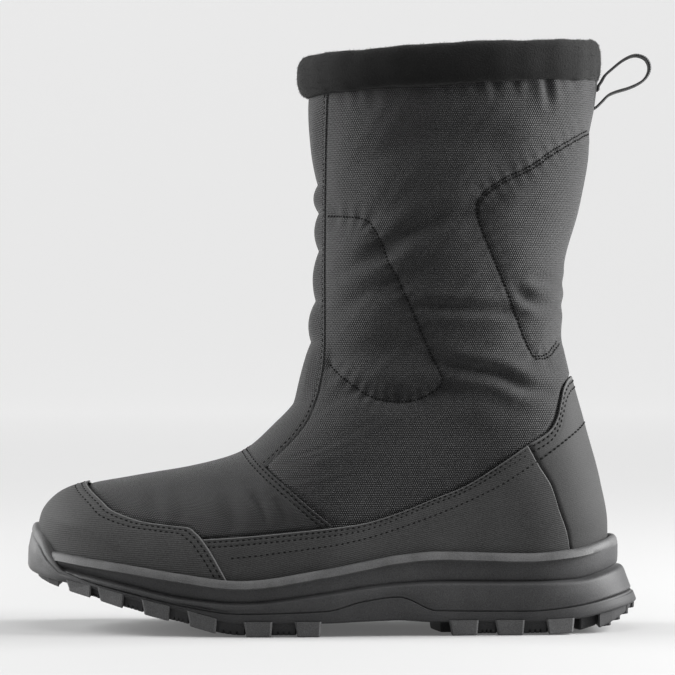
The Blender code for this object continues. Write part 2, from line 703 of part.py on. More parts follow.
def make_pull_loop():
    """Webbing loop at the back, both ends lying against the shaft just under the cuff."""
    seat = FIT + LOOP_THICK / 2
    upper_end, lower_end = (
        [(float(smooth(BACK_LINE["z"], BACK_LINE["x"], z)) + seat, z) for z in heights]
        for heights in (LOOP_UPPER_END, LOOP_LOWER_END)
    )
    route = np.array([*upper_end, *LOOP_ROUTE, *lower_end])
    along = np.gradient(route, axis=0)
    across = np.stack([-along[:, 1], along[:, 0]], axis=-1)
    across *= LOOP_THICK / 2 / np.linalg.norm(across, axis=1, keepdims=True)
    edge = LOOP_WIDTH / 2
    vertices = []
    for (x, z), (dx, dz) in zip(route, across):
        vertices += [(x - dx, -edge, z - dz), (x - dx, edge, z - dz)]
        vertices += [(x + dx, edge, z + dz), (x + dx, -edge, z + dz)]
    last = len(vertices) - 4
    faces = [(3, 2, 1, 0), (last, last + 1, last + 2, last + 3)]
    for first in range(0, last, 4):
        faces += [(first + k, first + (k + 1) % 4, first + (k + 1) % 4 + 4, first + k + 4) for k in range(4)]
    return make("pull_loop", vertices, faces, material("webbing"))


def main():
    for piece in list(bpy.data.objects):
        bpy.data.objects.remove(piece)
    pieces = [make_outsole(), make_midsole(), make_insole(), make_upper()]
    pieces += [make_toe_cap(), *make_mudguards(), make_heel_counter(), make_front_strip()]
    pieces += [make_cuff(), make_pull_loop()]
    boot = bpy.data.objects.new("boot", None)
    bpy.context.scene.collection.objects.link(boot)
    for piece in pieces:
        piece.parent = boot


main()
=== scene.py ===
# %% [markdown]
# # A pull-on snow boot
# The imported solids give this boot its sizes. Here each of them is dressed as the thing that it
# stands for: woven nylon over padding, coated panels sewn on top, a fleece roll at the collar and a
# moulded rubber sole. Everything is in metres. +X runs from toe to heel, -Y is the outer side of
# this left boot, +Z is up.

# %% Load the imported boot
import math

import bpy
import numpy as np
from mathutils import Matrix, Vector


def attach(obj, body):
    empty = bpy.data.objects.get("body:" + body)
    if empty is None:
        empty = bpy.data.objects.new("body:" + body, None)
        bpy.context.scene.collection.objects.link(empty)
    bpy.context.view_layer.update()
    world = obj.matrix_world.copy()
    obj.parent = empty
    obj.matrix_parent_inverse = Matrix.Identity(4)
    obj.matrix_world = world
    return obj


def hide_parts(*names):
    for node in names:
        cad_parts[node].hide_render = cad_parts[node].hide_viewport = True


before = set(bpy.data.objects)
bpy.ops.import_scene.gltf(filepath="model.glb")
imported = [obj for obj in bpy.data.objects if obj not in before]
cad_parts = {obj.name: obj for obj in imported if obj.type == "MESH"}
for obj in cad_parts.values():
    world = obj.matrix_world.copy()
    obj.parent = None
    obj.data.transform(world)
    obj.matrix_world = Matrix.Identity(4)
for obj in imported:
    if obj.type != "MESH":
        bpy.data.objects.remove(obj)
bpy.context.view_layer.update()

# %% [markdown]
# ## Shader arithmetic
# Every finish of the boot and its studio is worked out from coordinates. A small class makes an
# expression on sockets add the Math nodes that it needs, and its node method adds any other kind of
# node.

# %% Shader arithmetic


class Wire:
    """An output socket in a material. Arithmetic on it adds Math nodes, and node() any other node."""

    def __init__(self, tree, socket):
        self.tree = tree
        self.socket = socket

    def node(self, kind, settings, sockets, output=0):
        made = self.tree.nodes.new(kind)
        for name, value in settings.items():
            setattr(made, name, value)
        for name, value in sockets.items():
            if isinstance(value, Wire):
                self.tree.links.new(value.socket, made.inputs[name])
            else:
                made.inputs[name].default_value = value
        return Wire(self.tree, made.outputs[output])

    def math(self, operation, *others):
        values = dict(enumerate((self, *others)))
        return self.node("ShaderNodeMath", {"operation": operation}, values)

    def __add__(self, other):
        return self.math("ADD", other)

    def __sub__(self, other):
        return self.math("SUBTRACT", other)

    def __mul__(self, other):
        return self.math("MULTIPLY", other)

    def __rsub__(self, other):
        return self.node("ShaderNodeMath", {"operation": "SUBTRACT"}, {0: other, 1: self})

    __radd__ = __add__
    __rmul__ = __mul__

    def sine(self):
        return self.math("SINE")

    def feed(self, shader, name):
        self.tree.links.new(self.socket, shader.inputs[name])


def start_finish(name, coordinates, constants):
    """A new material, its shader with its constants set, and a wire with the pattern's coordinates."""
    finish = bpy.data.materials.new(name)
    finish.use_nodes = True
    tree = finish.node_tree
    shader = tree.nodes["Principled BSDF"]
    for socket, value in constants.items():
        shader.inputs[socket].default_value = value
    origin = tree.nodes.new("ShaderNodeTexCoord")
    return finish, shader, Wire(tree, origin.outputs[coordinates])


def parts(vector):
    """The three parts of a vector."""
    first = vector.node("ShaderNodeSeparateXYZ", {}, {"Vector": vector})
    return [Wire(first.tree, output) for output in first.socket.node.outputs]


def noise(vector, size, detail=2.0):
    """Soft random values about 0.5, with spots of about a given size."""
    return vector.node("ShaderNodeTexNoise", {}, {"Vector": vector, "Scale": 1 / size, "Detail": detail})


def grey(value, blue=0.0):
    """A neutral colour, with a trace of blue where the real black is a cool one."""
    return (value, value, value + blue, 1)


def mix(factor, dark, light):
    return factor.node("ShaderNodeMix", {"data_type": "RGBA"}, {0: factor, 6: dark, 7: light}, output=2)


def wear_and_highlight_mask(vector):
    """How much paler to paint, 0 to 1: real scuffs on the bumper, painted highlights on the lip and cut
    edges.
    """
    return vector.node("ShaderNodeAttribute", {"attribute_name": "wear_and_highlight"}, {}, output="Fac")


def bump(height, strength, distance):
    sockets = {"Height": height, "Strength": strength, "Distance": distance}
    return height.node("ShaderNodeBump", {}, sockets)


# %% [markdown]
# ## Camera
# The boot is seen square from its outer side, from far away and level with the middle of the shaft.
# A long lens does the same: the distance and the width that the picture takes in fix the focal
# length.

# %% Camera
CAMERA_AWAY = 1.75        # from the boot's middle plane
CAMERA_HEIGHT = 0.145
CAMERA_X = -0.00075
VIEW_WIDTH = 0.3375       # what the picture takes in at the middle plane
SENSOR_MM = 36.0

bpy.ops.object.select_all(action="DESELECT")
bpy.ops.object.camera_add(location=(CAMERA_X, -CAMERA_AWAY, CAMERA_HEIGHT),
                          rotation=(math.pi / 2, 0, 0))
camera = bpy.context.object
camera.name = "camera"
camera.data.sensor_width = SENSOR_MM
camera.data.lens = SENSOR_MM * CAMERA_AWAY / VIEW_WIDTH
bpy.context.scene.camera = camera
print("lens:", round(camera.data.lens, 1), "mm")

# %% [markdown]
# ## Studio
# A dark boot on a pale ground needs light from both sides, so that its edges shine and its middle
# stays dark. The ground is a wide disc whose rim is extruded up in a curve, so that no horizon
# shows from any side. Two soft boxes stand low beside the boot, a little behind it, and a third
# hangs above it. Their light falls off with the distance, so the ground glows a little by itself,
# as a light table does, and more the farther off it lies.

# %% Ground
GROUND_RADIUS = 5.0
GROUND_SIDES = 96
RIM_RADIUS = 1.6
RIM_STEPS = 8
RIM_WALL = 1.5
GROUND_GAP = 0.0001       # under the lugs, so that the two faces do not coincide

bpy.ops.object.select_all(action="DESELECT")
bpy.ops.mesh.primitive_circle_add(vertices=GROUND_SIDES, radius=GROUND_RADIUS, fill_type="NGON",
                                  location=(0, 0, 0))
ground = bpy.context.object
ground.name = "ground"
bpy.ops.object.mode_set(mode="EDIT")
bpy.ops.mesh.select_all(action="DESELECT")
bpy.ops.mesh.select_mode(type="EDGE")
bpy.ops.mesh.select_non_manifold()
reached, climbed = GROUND_RADIUS, 0.0
for step in range(1, RIM_STEPS + 1):
    angle = step / RIM_STEPS * math.pi / 2
    radius = GROUND_RADIUS + RIM_RADIUS * math.sin(angle)
    height = RIM_RADIUS * (1 - math.cos(angle))
    bpy.ops.mesh.extrude_edges_move()
    bpy.ops.transform.resize(value=(radius / reached, radius / reached, 1))
    bpy.ops.transform.translate(value=(0, 0, height - climbed))
    reached, climbed = radius, height
bpy.ops.mesh.extrude_edges_move()
bpy.ops.transform.translate(value=(0, 0, RIM_WALL))
bpy.ops.mesh.select_all(action="SELECT")
bpy.ops.transform.translate(value=(0, 0, -GROUND_GAP))
bpy.ops.object.mode_set(mode="OBJECT")
bpy.ops.object.shade_smooth()
print("ground faces:", len(ground.data.polygons))

# %% Ground finish
GROUND_GREY = 0.33
NEAR_GLOW, FAR_GLOW, FRONT_GLOW = 0.10, 0.68, 0.28
GLOW_START, GLOW_END = -2.5, 0.0      # y between which the glow rises, away from the camera
LIT_RADIUS = 1.45                     # how far the soft boxes light the ground

ground_finish, shader, place = start_finish("pale_ground", "Object", {
    "Base Color": grey(GROUND_GREY), "Roughness": 0.9, "Emission Strength": 1.0})
x, y, _ = parts(place)
lit = ((x * x + y * y) * LIT_RADIUS ** -2 + 1).math("POWER", -2.0)
behind = y.node("ShaderNodeMapRange", {"interpolation_type": "SMOOTHSTEP"},
                {"Value": y, "From Min": GLOW_START, "From Max": GLOW_END})
far = mix(behind, grey(FRONT_GLOW), grey(FAR_GLOW))
mix(lit, far, grey(NEAR_GLOW)).feed(shader, "Emission Color")
ground.data.materials.append(ground_finish)
print("ground:", ground_finish.name)

# %% Lights
SKY_STRENGTH = 0.05
BOOT_MIDDLE = Vector((0, 0, 0.12))
LIGHT_AWAY = 1.3
# Each soft box: its name, its side (0 camera, 90 heel, 180 behind, 270 toe), its elevation, how much
# light it throws on the boot, and its size.
SOFT_BOXES = (
    ("light_heel_side", 91, 22, 9.6, 0.8),
    ("light_toe_side", 262, 24, 5.2, 0.8),
    ("light_above", 0, 70, 1.3, 0.8),
)

studio = bpy.data.worlds.new("studio")
studio.use_nodes = True
studio.node_tree.nodes["Background"].inputs["Color"].default_value = (1, 1, 1, 1)
studio.node_tree.nodes["Background"].inputs["Strength"].default_value = SKY_STRENGTH
bpy.context.scene.world = studio
bpy.context.scene.view_settings.view_transform = "Standard"
for name, side, elevation, light, size in SOFT_BOXES:
    side, elevation = math.radians(side), math.radians(elevation)
    towards = Vector((math.sin(side) * math.cos(elevation), -math.cos(side) * math.cos(elevation),
                      math.sin(elevation)))
    bpy.ops.object.light_add(type="AREA", location=BOOT_MIDDLE + LIGHT_AWAY * towards,
                             rotation=towards.to_track_quat("Z", "Y").to_euler())
    lamp = bpy.context.object
    lamp.name = name
    lamp.data.size = size
    lamp.data.energy = light * math.pi * LIGHT_AWAY ** 2
print("lamps:", len(SOFT_BOXES))

# %% [markdown]
# ## The boot's form
# The solids were made from a front line and a back line in the side view, and from widths along the
# foot and up the leg. The same tables are repeated here, so that finer cloth can lie exactly where
# the solids are. A place on the upper is named by two numbers: its share of the way up the rings,
# and its turn round the ring, which is 0 at the front, pi at the back, positive on the outer side
# and negative on the inner side.

# %% Tables of the form


def table(columns, *rows):
    """A table with named columns, a row for each section."""
    return {name: np.array(values) for name, values in zip(columns.split(), zip(*rows))}


FRONT_LINE = table(   # share: the way up the rings, depth: how deep the form is still rounding off
    "share x z depth",
    (0.00, -0.1482, 0.0330, 0.066), (0.06, -0.1488, 0.0465, 0.064), (0.10, -0.1473, 0.0560, 0.058),
    (0.15, -0.1390, 0.0658, 0.053), (0.20, -0.1262, 0.0708, 0.050), (0.28, -0.1000, 0.0756, 0.052),
    (0.36, -0.0730, 0.0804, 0.056), (0.43, -0.0500, 0.0870, 0.060), (0.50, -0.0322, 0.1015, 0.060),
    (0.56, -0.0202, 0.1155, 0.060), (0.62, -0.0145, 0.1340, 0.060), (0.80, -0.0093, 0.1960, 0.064),
    (0.93, -0.0112, 0.2400, 0.068), (1.00, -0.0145, 0.2650, 0.070),
)
BACK_LINE = table(
    "share x z depth",
    (0.00, 0.1331, 0.0310, 0.042), (0.14, 0.1330, 0.0520, 0.040), (0.28, 0.1293, 0.0740, 0.042),
    (0.43, 0.1215, 0.1030, 0.047), (0.56, 0.1142, 0.1320, 0.053), (0.65, 0.1114, 0.1580, 0.058),
    (0.72, 0.1122, 0.1790, 0.062), (0.82, 0.1200, 0.2100, 0.068), (0.90, 0.1255, 0.2400, 0.070),
    (1.00, 0.1288, 0.2725, 0.072),
)
FOOT_WIDTHS = table(   # the foot from above: its middle line, and half widths to both sides of it
    "x middle outer inner",
    (-0.150, 0.0070, 0.0440, 0.0440), (-0.120, 0.0055, 0.0460, 0.0455), (-0.085, 0.0030, 0.0490, 0.0480),
    (-0.050, 0.0008, 0.0518, 0.0492), (-0.010, -0.0008, 0.0490, 0.0440), (0.030, -0.0005, 0.0430, 0.0382),
    (0.070, 0.0000, 0.0388, 0.0372), (0.105, 0.0000, 0.0372, 0.0370), (0.135, 0.0000, 0.0366, 0.0366),
)
LEG_WIDTHS = table(
    "z half",
    (0.100, 0.0385), (0.130, 0.0398), (0.160, 0.0420), (0.200, 0.0465), (0.240, 0.0495), (0.273, 0.0510),
)
SOLE_SECTIONS = table(   # heights of the sole along its length; low and high: how far its side stands out
    "x tread lug tray step lip cup low high",
    (-0.152, 0.0265, 0.0024, 0.0310, 0.0330, 0.0400, 0.0332, 0.0060, 0.0044),
    (-0.140, 0.0225, 0.0036, 0.0288, 0.0318, 0.0395, 0.0318, 0.0062, 0.0044),
    (-0.122, 0.0180, 0.0050, 0.0256, 0.0285, 0.0371, 0.0288, 0.0064, 0.0044),
    (-0.101, 0.0121, 0.0060, 0.0207, 0.0238, 0.0341, 0.0256, 0.0066, 0.0046),
    (-0.075, 0.0057, 0.0064, 0.0146, 0.0182, 0.0300, 0.0218, 0.0066, 0.0048),
    (-0.048, 0.0000, 0.0064, 0.0109, 0.0160, 0.0271, 0.0190, 0.0066, 0.0058),
    (-0.007, 0.0000, 0.0064, 0.0120, 0.0205, 0.0327, 0.0230, 0.0068, 0.0062),
    (0.010, 0.0012, 0.0058, 0.0164, 0.0232, 0.0359, 0.0262, 0.0068, 0.0062),
    (0.028, 0.0018, 0.0056, 0.0186, 0.0250, 0.0392, 0.0290, 0.0068, 0.0060),
    (0.047, 0.0000, 0.0064, 0.0118, 0.0258, 0.0408, 0.0303, 0.0072, 0.0054),
    (0.092, 0.0000, 0.0064, 0.0114, 0.0255, 0.0397, 0.0300, 0.0074, 0.0052),
    (0.113, 0.0008, 0.0062, 0.0130, 0.0262, 0.0415, 0.0304, 0.0074, 0.0052),
    (0.136, 0.0065, 0.0050, 0.0174, 0.0330, 0.0478, 0.0310, 0.0074, 0.0050),
)
FRONT_POWER, BACK_POWER = 2.15, 2.2   # how round the form is in front and behind: 2 is an ellipse
FOOT_TOP, LEG_BOTTOM = 0.085, 0.140   # heights between which foot widths give way to leg widths
CUP_FADE, CUP_FADE_POWER = 0.45, 1.5  # how the rings leave the cup under the foot
print("sections:", *(len(lines["x"]) for lines in (FRONT_LINE, BACK_LINE, SOLE_SECTIONS)))

# %% Curves through the tables


def smooth(known, values, at):
    """Cubic curve through a table's rows that never swings past them."""
    known, values = np.asarray(known, float), np.asarray(values, float)
    step = np.diff(known)
    slope = np.diff(values) / step
    before, after = slope[:-1], slope[1:]
    same_way = before * after > 0
    inner = np.zeros_like(before)
    inner[same_way] = 2 * before[same_way] * after[same_way] / (before[same_way] + after[same_way])
    gradient = np.concatenate([slope[:1], inner, slope[-1:]])
    at = np.clip(np.asarray(at, float), known[0], known[-1])
    row = np.clip(np.searchsorted(known, at, side="right") - 1, 0, len(step) - 1)
    t = (at - known[row]) / step[row]
    rise = values[row + 1] - values[row]
    start, end = gradient[row] * step[row], gradient[row + 1] * step[row]
    return values[row] + t * (start + t * (3 * rise - 2 * start - end + t * (start + end - 2 * rise)))


def soft_step(low, high, at):
    t = np.clip((at - low) / (high - low), 0.0, 1.0)
    return t * t * (3 - 2 * t)


def bell(distance, width):
    return np.exp(-(distance / width) ** 2)


def sole(column, x):
    return smooth(SOLE_SECTIONS["x"], SOLE_SECTIONS[column], x)


def line_at(line, share):
    columns = (smooth(line["share"], line[column], share) for column in ("x", "z", "depth"))
    return np.stack(list(columns), axis=-1)


# %% The upper as a function of share and turn
COARSE_MARKS = 60         # places along a line that are searched first
FINE_STEPS = 5            # pieces between two of them
SHARE_STEP, TURN_STEP = 0.004, 0.03   # between the points that give a normal


def depth_share(line, x, z):
    """How far side-view points lie inside a line, as a share of the depth where the form rounds off."""
    path = line_at(line, np.linspace(0, 1, COARSE_MARKS * FINE_STEPS + 1))
    points = np.stack([x, z], axis=-1).reshape(-1, 2)
    marks, depths = path[::FINE_STEPS, :2], path[::FINE_STEPS, 2]
    squares = (points ** 2).sum(1)[:, None] - 2 * points @ marks.T + (marks ** 2).sum(1)
    near = (squares / depths ** 2).argmin(1)
    first = np.clip(near - 1, 0, COARSE_MARKS - 2) * FINE_STEPS
    rows = first[:, None] + np.arange(2 * FINE_STEPS)
    start, along = path[rows, :2], path[rows + 1, :2] - path[rows, :2]
    away = points[:, None] - start
    t = np.clip((away * along).sum(-1) / (along ** 2).sum(-1), 0, 1)
    gap = np.linalg.norm(away - t[..., None] * along, axis=-1)
    depth = path[rows, 2] + t * (path[rows + 1, 2] - path[rows, 2])
    return (gap / depth).min(1).reshape(np.shape(x))


def rounding(share, power):
    return (1 - (1 - np.clip(share, 0, 1)) ** power) ** (1 / power)


def sides(x, z):
    """y of the outer and the inner side of the form at points of the side view."""
    leg = soft_step(FOOT_TOP, LEG_BOTTOM, z)
    half_leg = smooth(LEG_WIDTHS["z"], LEG_WIDTHS["half"], z)
    round_off = rounding(depth_share(FRONT_LINE, x, z), FRONT_POWER)
    round_off = round_off * rounding(depth_share(BACK_LINE, x, z), BACK_POWER)
    middle, outer, inner = (smooth(FOOT_WIDTHS["x"], FOOT_WIDTHS[side], x)
                            for side in ("middle", "outer", "inner"))
    middle = middle * (1 - leg)
    outer = (outer + (half_leg - outer) * leg) * round_off
    inner = (inner + (half_leg - inner) * leg) * round_off
    return middle - outer, middle + inner


def side_view(share, across):
    """x and z on the ring at a share, a given part of the way from its front to its back."""
    front, back = line_at(FRONT_LINE, share), line_at(BACK_LINE, share)
    x = front[..., 0] + across * (back[..., 0] - front[..., 0])
    z = front[..., 1] + across * (back[..., 1] - front[..., 1])
    toe, heel = FRONT_LINE["x"][0], BACK_LINE["x"][0]
    toe_cup, heel_cup = sole("cup", toe), sole("cup", heel)
    sag = sole("cup", toe + across * (heel - toe)) - (toe_cup + across * (heel_cup - toe_cup))
    return np.stack([x, z + sag * np.clip(1 - share / CUP_FADE, 0, 1) ** CUP_FADE_POWER], axis=-1)


def from_side(share, turn):
    """Where a place on the upper shows in the side view."""
    return side_view(share, (1 - np.cos(turn)) / 2)


def boot_form(share, turn):
    """Points on the outside of the upper."""
    share, turn = np.broadcast_arrays(np.asarray(share, float), np.asarray(turn, float))
    turn = (turn + math.pi) % (2 * math.pi) - math.pi
    x, z = np.moveaxis(from_side(share, turn), -1, 0)
    outer, inner = sides(x, z)
    return np.stack([x, np.where(turn < 0, inner, outer), z], axis=-1)


def form_normal(share, turn):
    """The way out of the upper at each point."""
    above, below = np.minimum(share + SHARE_STEP, 1), np.maximum(share - SHARE_STEP, 0)
    up = boot_form(above, turn) - boot_form(below, turn)
    round_ring = boot_form(share, turn + TURN_STEP) - boot_form(share, turn - TURN_STEP)
    normal = np.cross(round_ring, up)
    return normal / np.linalg.norm(normal, axis=-1, keepdims=True)


def on_form(share, turn, lift):
    """Points that stand out of the upper by a lift."""
    share, turn, lift = np.broadcast_arrays(share, turn, lift)
    return boot_form(share, turn) + lift[..., None] * form_normal(share, turn)


print("middle of the outer side:", np.round(boot_form(0.8, math.pi / 2), 4).tolist())

# %% [markdown]
# ## Lines drawn on the side of the boot
# A pattern cutter draws seams on the side view. Each line here is a few places in millimetres,
# joined by a round curve, and then found on the form: Newton's method looks for the share and turn
# that show there. The same share with the opposite turn gives the line on the inner side.

# %% From the side view to the form
MM = 0.001
CURVE_STEPS = 20          # points between two given places
SEARCH_STEPS = 60
NEWTON_ROUNDS = 12
NUDGE = 1e-4
ON_LINE = 0.00005         # how near a point must be found to count as lying on the boot


def curve_through(points, count):
    """A round curve through the given places, as evenly spaced points."""
    points = np.asarray(points, float)
    padded = np.concatenate([[2 * points[0] - points[1]], points, [2 * points[-1] - points[-2]]])
    t = np.linspace(0, len(points) - 1 - 1e-9, CURVE_STEPS * len(points))
    row = t.astype(int)
    t = (t - row)[:, None]
    a, b, c, d = (padded[row + k] for k in range(4))
    path = 2 * b + t * (c - a) + t ** 2 * (2 * a - 5 * b + 4 * c - d) + t ** 3 * (3 * b - a - 3 * c + d)
    return evenly(path / 2, path / 2, count)


def evenly(values, places, count):
    """The values along a path, taken again at even distances between its places."""
    along = np.concatenate([[0], np.cumsum(np.linalg.norm(np.diff(places, axis=0), axis=1))])
    at = np.linspace(0, along[-1], count)
    return np.stack([np.interp(at, along, column) for column in np.transpose(values)], axis=-1)


def find_on_form(points):
    """Share and turn of the outer side's points that show at given places in the side view."""
    points = np.asarray(points, float)
    marks = np.linspace(0, 1, SEARCH_STEPS + 1)
    known = np.stack(np.meshgrid(marks, marks, indexing="ij"), axis=-1).reshape(-1, 2)
    seen = side_view(*known.T)
    place = known[((points[:, None] - seen) ** 2).sum(-1).argmin(1)]
    for _ in range(NEWTON_ROUNDS):
        here = side_view(*place.T)
        nudge = np.where(place > 0.5, -NUDGE, NUDGE)
        slopes = [(side_view(*(place + nudge * way).T) - here) / (nudge * way).sum(1)[:, None]
                  for way in np.eye(2)]
        move = np.linalg.solve(np.stack(slopes, axis=-1), (points - here)[..., None])[..., 0]
        place = np.clip(place + move, 0, 1)
    return np.stack([place[:, 0], np.arccos(1 - 2 * place[:, 1])], axis=-1)


def seam_on_form(points, count=240):
    """A side-view line as shares and turns, without what lies outside the boot's outline."""
    line = curve_through(np.asarray(points) * MM, count)
    found = find_on_form(line)
    shown = from_side(*found.T)
    return found[np.linalg.norm(line - shown, axis=1) < ON_LINE]


def to_middle(line, middle):
    """A line led on, straight, from its first point to the front (0) or the back (pi) of the boot."""
    (share, turn), (next_share, next_turn) = line[0], line[4]
    start = share + (middle - turn) * (next_share - share) / (next_turn - turn)
    return np.concatenate([[(start, middle)], line])


def mirrored(line, middle=0.0):
    """The same line on the other side of the boot."""
    return np.stack([line[:, 0], 2 * middle - line[:, 1]], axis=-1)


def across_middle(line, middle):
    """A line that starts in the middle, joined to its mirror image, in the order of rising turn."""
    rising, falling = (line, mirrored(line, middle))
    if line[-1, 1] < middle:
        rising, falling = falling, rising
    return np.concatenate([falling[:0:-1], rising])


def spread(line, count):
    """A line of shares and turns at even distances on the boot."""
    return evenly(line, boot_form(*line.T), count)


# %% Seams of the panels
TOE_CAP_EDGE = [(-128.5, 74.0), (-123.2, 68.4), (-116.1, 62.8), (-110.9, 58.9), (-101.1, 55.4),
                (-92.9, 53.6), (-78.6, 52.1), (-72.6, 51.5), (-69.7, 49.5), (-66.6, 46.5), (-61.2, 38.9),
                (-53.0, 24.0), (-50.0, 15.0)]
MUDGUARD_TOP = [(-78.0, 45.8), (-65.5, 46.4), (-48.1, 47.6), (-32.8, 49.1), (-12.7, 51.3), (3.4, 53.2),
                (16.1, 55.5), (31.2, 60.3), (46.4, 66.4), (61.6, 72.4), (76.8, 81.7), (92.0, 92.1)]
COUNTER_TOP = [(140.0, 133.0), (117.0, 126.2), (111.2, 121.0), (109.0, 113.0), (106.9, 105.1),
               (102.5, 98.6), (92.0, 92.1)]
COUNTER_FRONT = [(92.0, 92.1), (97.3, 82.5), (103.5, 72.2), (107.5, 59.8), (110.8, 50.6), (112.4, 41.2),
                 (114.0, 20.0)]
STRIP_SEAM = [(-36.4, 80.9), (-26.6, 90.7), (-20.0, 97.8), (-14.8, 105.0), (-11.8, 112.3), (-9.4, 120.2),
              (-6.9, 138.9), (-6.9, 183.1), (-6.4, 232.2), (-5.4, 264.0), (-5.2, 272.0)]
VAMP_SEAM = [(-50.0, 95.0), (-47.0, 91.5), (-44.5, 90.0), (-36.0, 81.0), (-24.0, 70.6), (-14.0, 62.0),
             (-3.0, 53.0), (4.0, 47.0), (9.0, 42.0)]
VAMP_BASE = [(-136.0, 72.0), (-131.0, 66.5), (-122.0, 60.0), (-111.0, 54.0), (-93.0, 48.5), (-74.0, 45.5),
             (-50.0, 42.5), (-20.0, 42.0), (4.0, 40.5)]

cap_edge = to_middle(seam_on_form(TOE_CAP_EDGE), 0.0)
mudguard_edge = seam_on_form(MUDGUARD_TOP)
counter_top = to_middle(seam_on_form(COUNTER_TOP), math.pi)
counter_front = seam_on_form(COUNTER_FRONT)
strip_edge = seam_on_form(STRIP_SEAM)
vamp_edge = to_middle(seam_on_form(VAMP_SEAM), 0.0)
vamp_base = to_middle(seam_on_form(VAMP_BASE), 0.0)
print("vamp seam starts at share", round(vamp_edge[0, 0], 3), "cap edge at", round(cap_edge[0, 0], 3))

# %% [markdown]
# ## Laying cloth
# Every sewn layer is a grid wrapped on the form. Blender's grid primitive gives the vertices, their
# faces and a UV map in one step; its vertices then go to their places, rows or ends that meet are
# merged, and what is left open is filled. The UV map is measured along the cloth in metres, so a
# weave keeps its real size: round and up the foot on the vamp, the strip and the panels, and along
# level lines on the shaft, whose threads lie level.

# %% Cloth measured along the boot
UV_STEPS = 160

uv_shares = np.linspace(0, 1, UV_STEPS + 1)
uv_turns = np.linspace(0, math.pi, UV_STEPS + 1)
uv_points = boot_form(uv_shares[:, None], uv_turns[None, :])
uv_around = np.zeros(uv_points.shape[:2])
uv_around[:, 1:] = np.cumsum(np.linalg.norm(np.diff(uv_points, axis=1), axis=-1), axis=1)
uv_upward = np.zeros(uv_points.shape[:2])
uv_upward[1:] = np.cumsum(np.linalg.norm(np.diff(uv_points, axis=0), axis=-1), axis=0)


def between(grid, share, turn):
    """A value of a grid over shares and turns, between its points."""
    row, column = share * UV_STEPS, turn / math.pi * UV_STEPS
    i = np.clip(row.astype(int), 0, UV_STEPS - 1)
    j = np.clip(column.astype(int), 0, UV_STEPS - 1)
    a, b = row - i, column - j
    low = grid[i, j] * (1 - b) + grid[i, j + 1] * b
    high = grid[i + 1, j] * (1 - b) + grid[i + 1, j + 1] * b
    return low * (1 - a) + high * a


def cloth_uv(share, turn):
    """Distances round the boot from its front and up it from the sole."""
    share, turn = np.broadcast_arrays(share, turn)
    past_back = turn > math.pi
    folded = np.where(past_back, 2 * math.pi - turn, np.abs(turn))
    around = between(uv_around, share, folded)
    whole = between(uv_around, share, np.full(share.shape, math.pi))
    around = np.where(past_back, 2 * whole - around, around * np.where(turn < 0, -1, 1))
    return np.stack([around, between(uv_upward, share, folded)], axis=-1)


LEG_MIDDLE = 0.060                    # x from which level distances are measured
LEVEL_LOW, LEVEL_HIGH = 0.030, 0.275  # heights of the lowest and the highest level line

level_z = np.linspace(LEVEL_LOW, LEVEL_HIGH, UV_STEPS + 1)[:, None]
level_front, level_back = (smooth(line["z"], line["x"], level_z) for line in (FRONT_LINE, BACK_LINE))
level_x = level_front + (1 - np.cos(uv_turns)) / 2 * (level_back - level_front)
level_y = sides(level_x, np.broadcast_to(level_z, level_x.shape))[0]
level_around = np.zeros(level_x.shape)
level_around[:, 1:] = np.cumsum(np.hypot(np.diff(level_x, axis=1), np.diff(level_y, axis=1)), axis=1)
for x_row, around_row in zip(level_x, level_around):
    around_row -= np.interp(LEG_MIDDLE, x_row, around_row)


def level_uv(share, turn):
    """Distances round the leg along level lines, from its middle, and heights: threads lie level here."""
    x, z = np.moveaxis(from_side(share, turn), -1, 0)
    front, back = (smooth(line["z"], line["x"], z) for line in (FRONT_LINE, BACK_LINE))
    turn = np.arccos(np.clip(1 - 2 * (x - front) / (back - front), -1, 1))
    around = between(level_around, (z - LEVEL_LOW) / (LEVEL_HIGH - LEVEL_LOW), turn)
    return np.stack([around, z], axis=-1)


print("round the collar:", round(2 * uv_around[-1, -1], 4), "m")

# %% Grid to piece
MERGE = 1e-6
CREASE_ANGLE = math.radians(50)


def lay_grid(name, points, uv, wear_and_highlight=None):
    """A piece from rows of points. Rows that meet again and pinched ends are merged, and gaps filled."""
    rows, columns = points.shape[:2]
    bpy.ops.object.select_all(action="DESELECT")
    bpy.ops.mesh.primitive_grid_add(x_subdivisions=columns - 1, y_subdivisions=rows - 1, size=1,
                                    location=(0, 0, 0))
    piece = bpy.context.object
    piece.name = piece.data.name = name
    piece.data.vertices.foreach_set("co", points.reshape(-1).astype(np.float32))
    corners = np.empty(len(piece.data.loops), dtype=np.int32)
    piece.data.loops.foreach_get("vertex_index", corners)
    uv_map = np.ascontiguousarray(uv.reshape(-1, 2)[corners], dtype=np.float32)
    piece.data.uv_layers.active.data.foreach_set("uv", uv_map.ravel())
    if wear_and_highlight is not None:
        mark = piece.data.attributes.new("wear_and_highlight", "FLOAT", "POINT")
        mark.data.foreach_set("value", np.broadcast_to(wear_and_highlight, (rows, columns)).astype(np.float32).ravel())
    bpy.ops.object.mode_set(mode="EDIT")
    bpy.ops.mesh.select_all(action="SELECT")
    bpy.ops.mesh.remove_doubles(threshold=MERGE)
    bpy.ops.mesh.fill_holes(sides=0)
    bpy.ops.object.mode_set(mode="OBJECT")
    bpy.ops.object.shade_smooth_by_angle(angle=CREASE_ANGLE)
    return piece


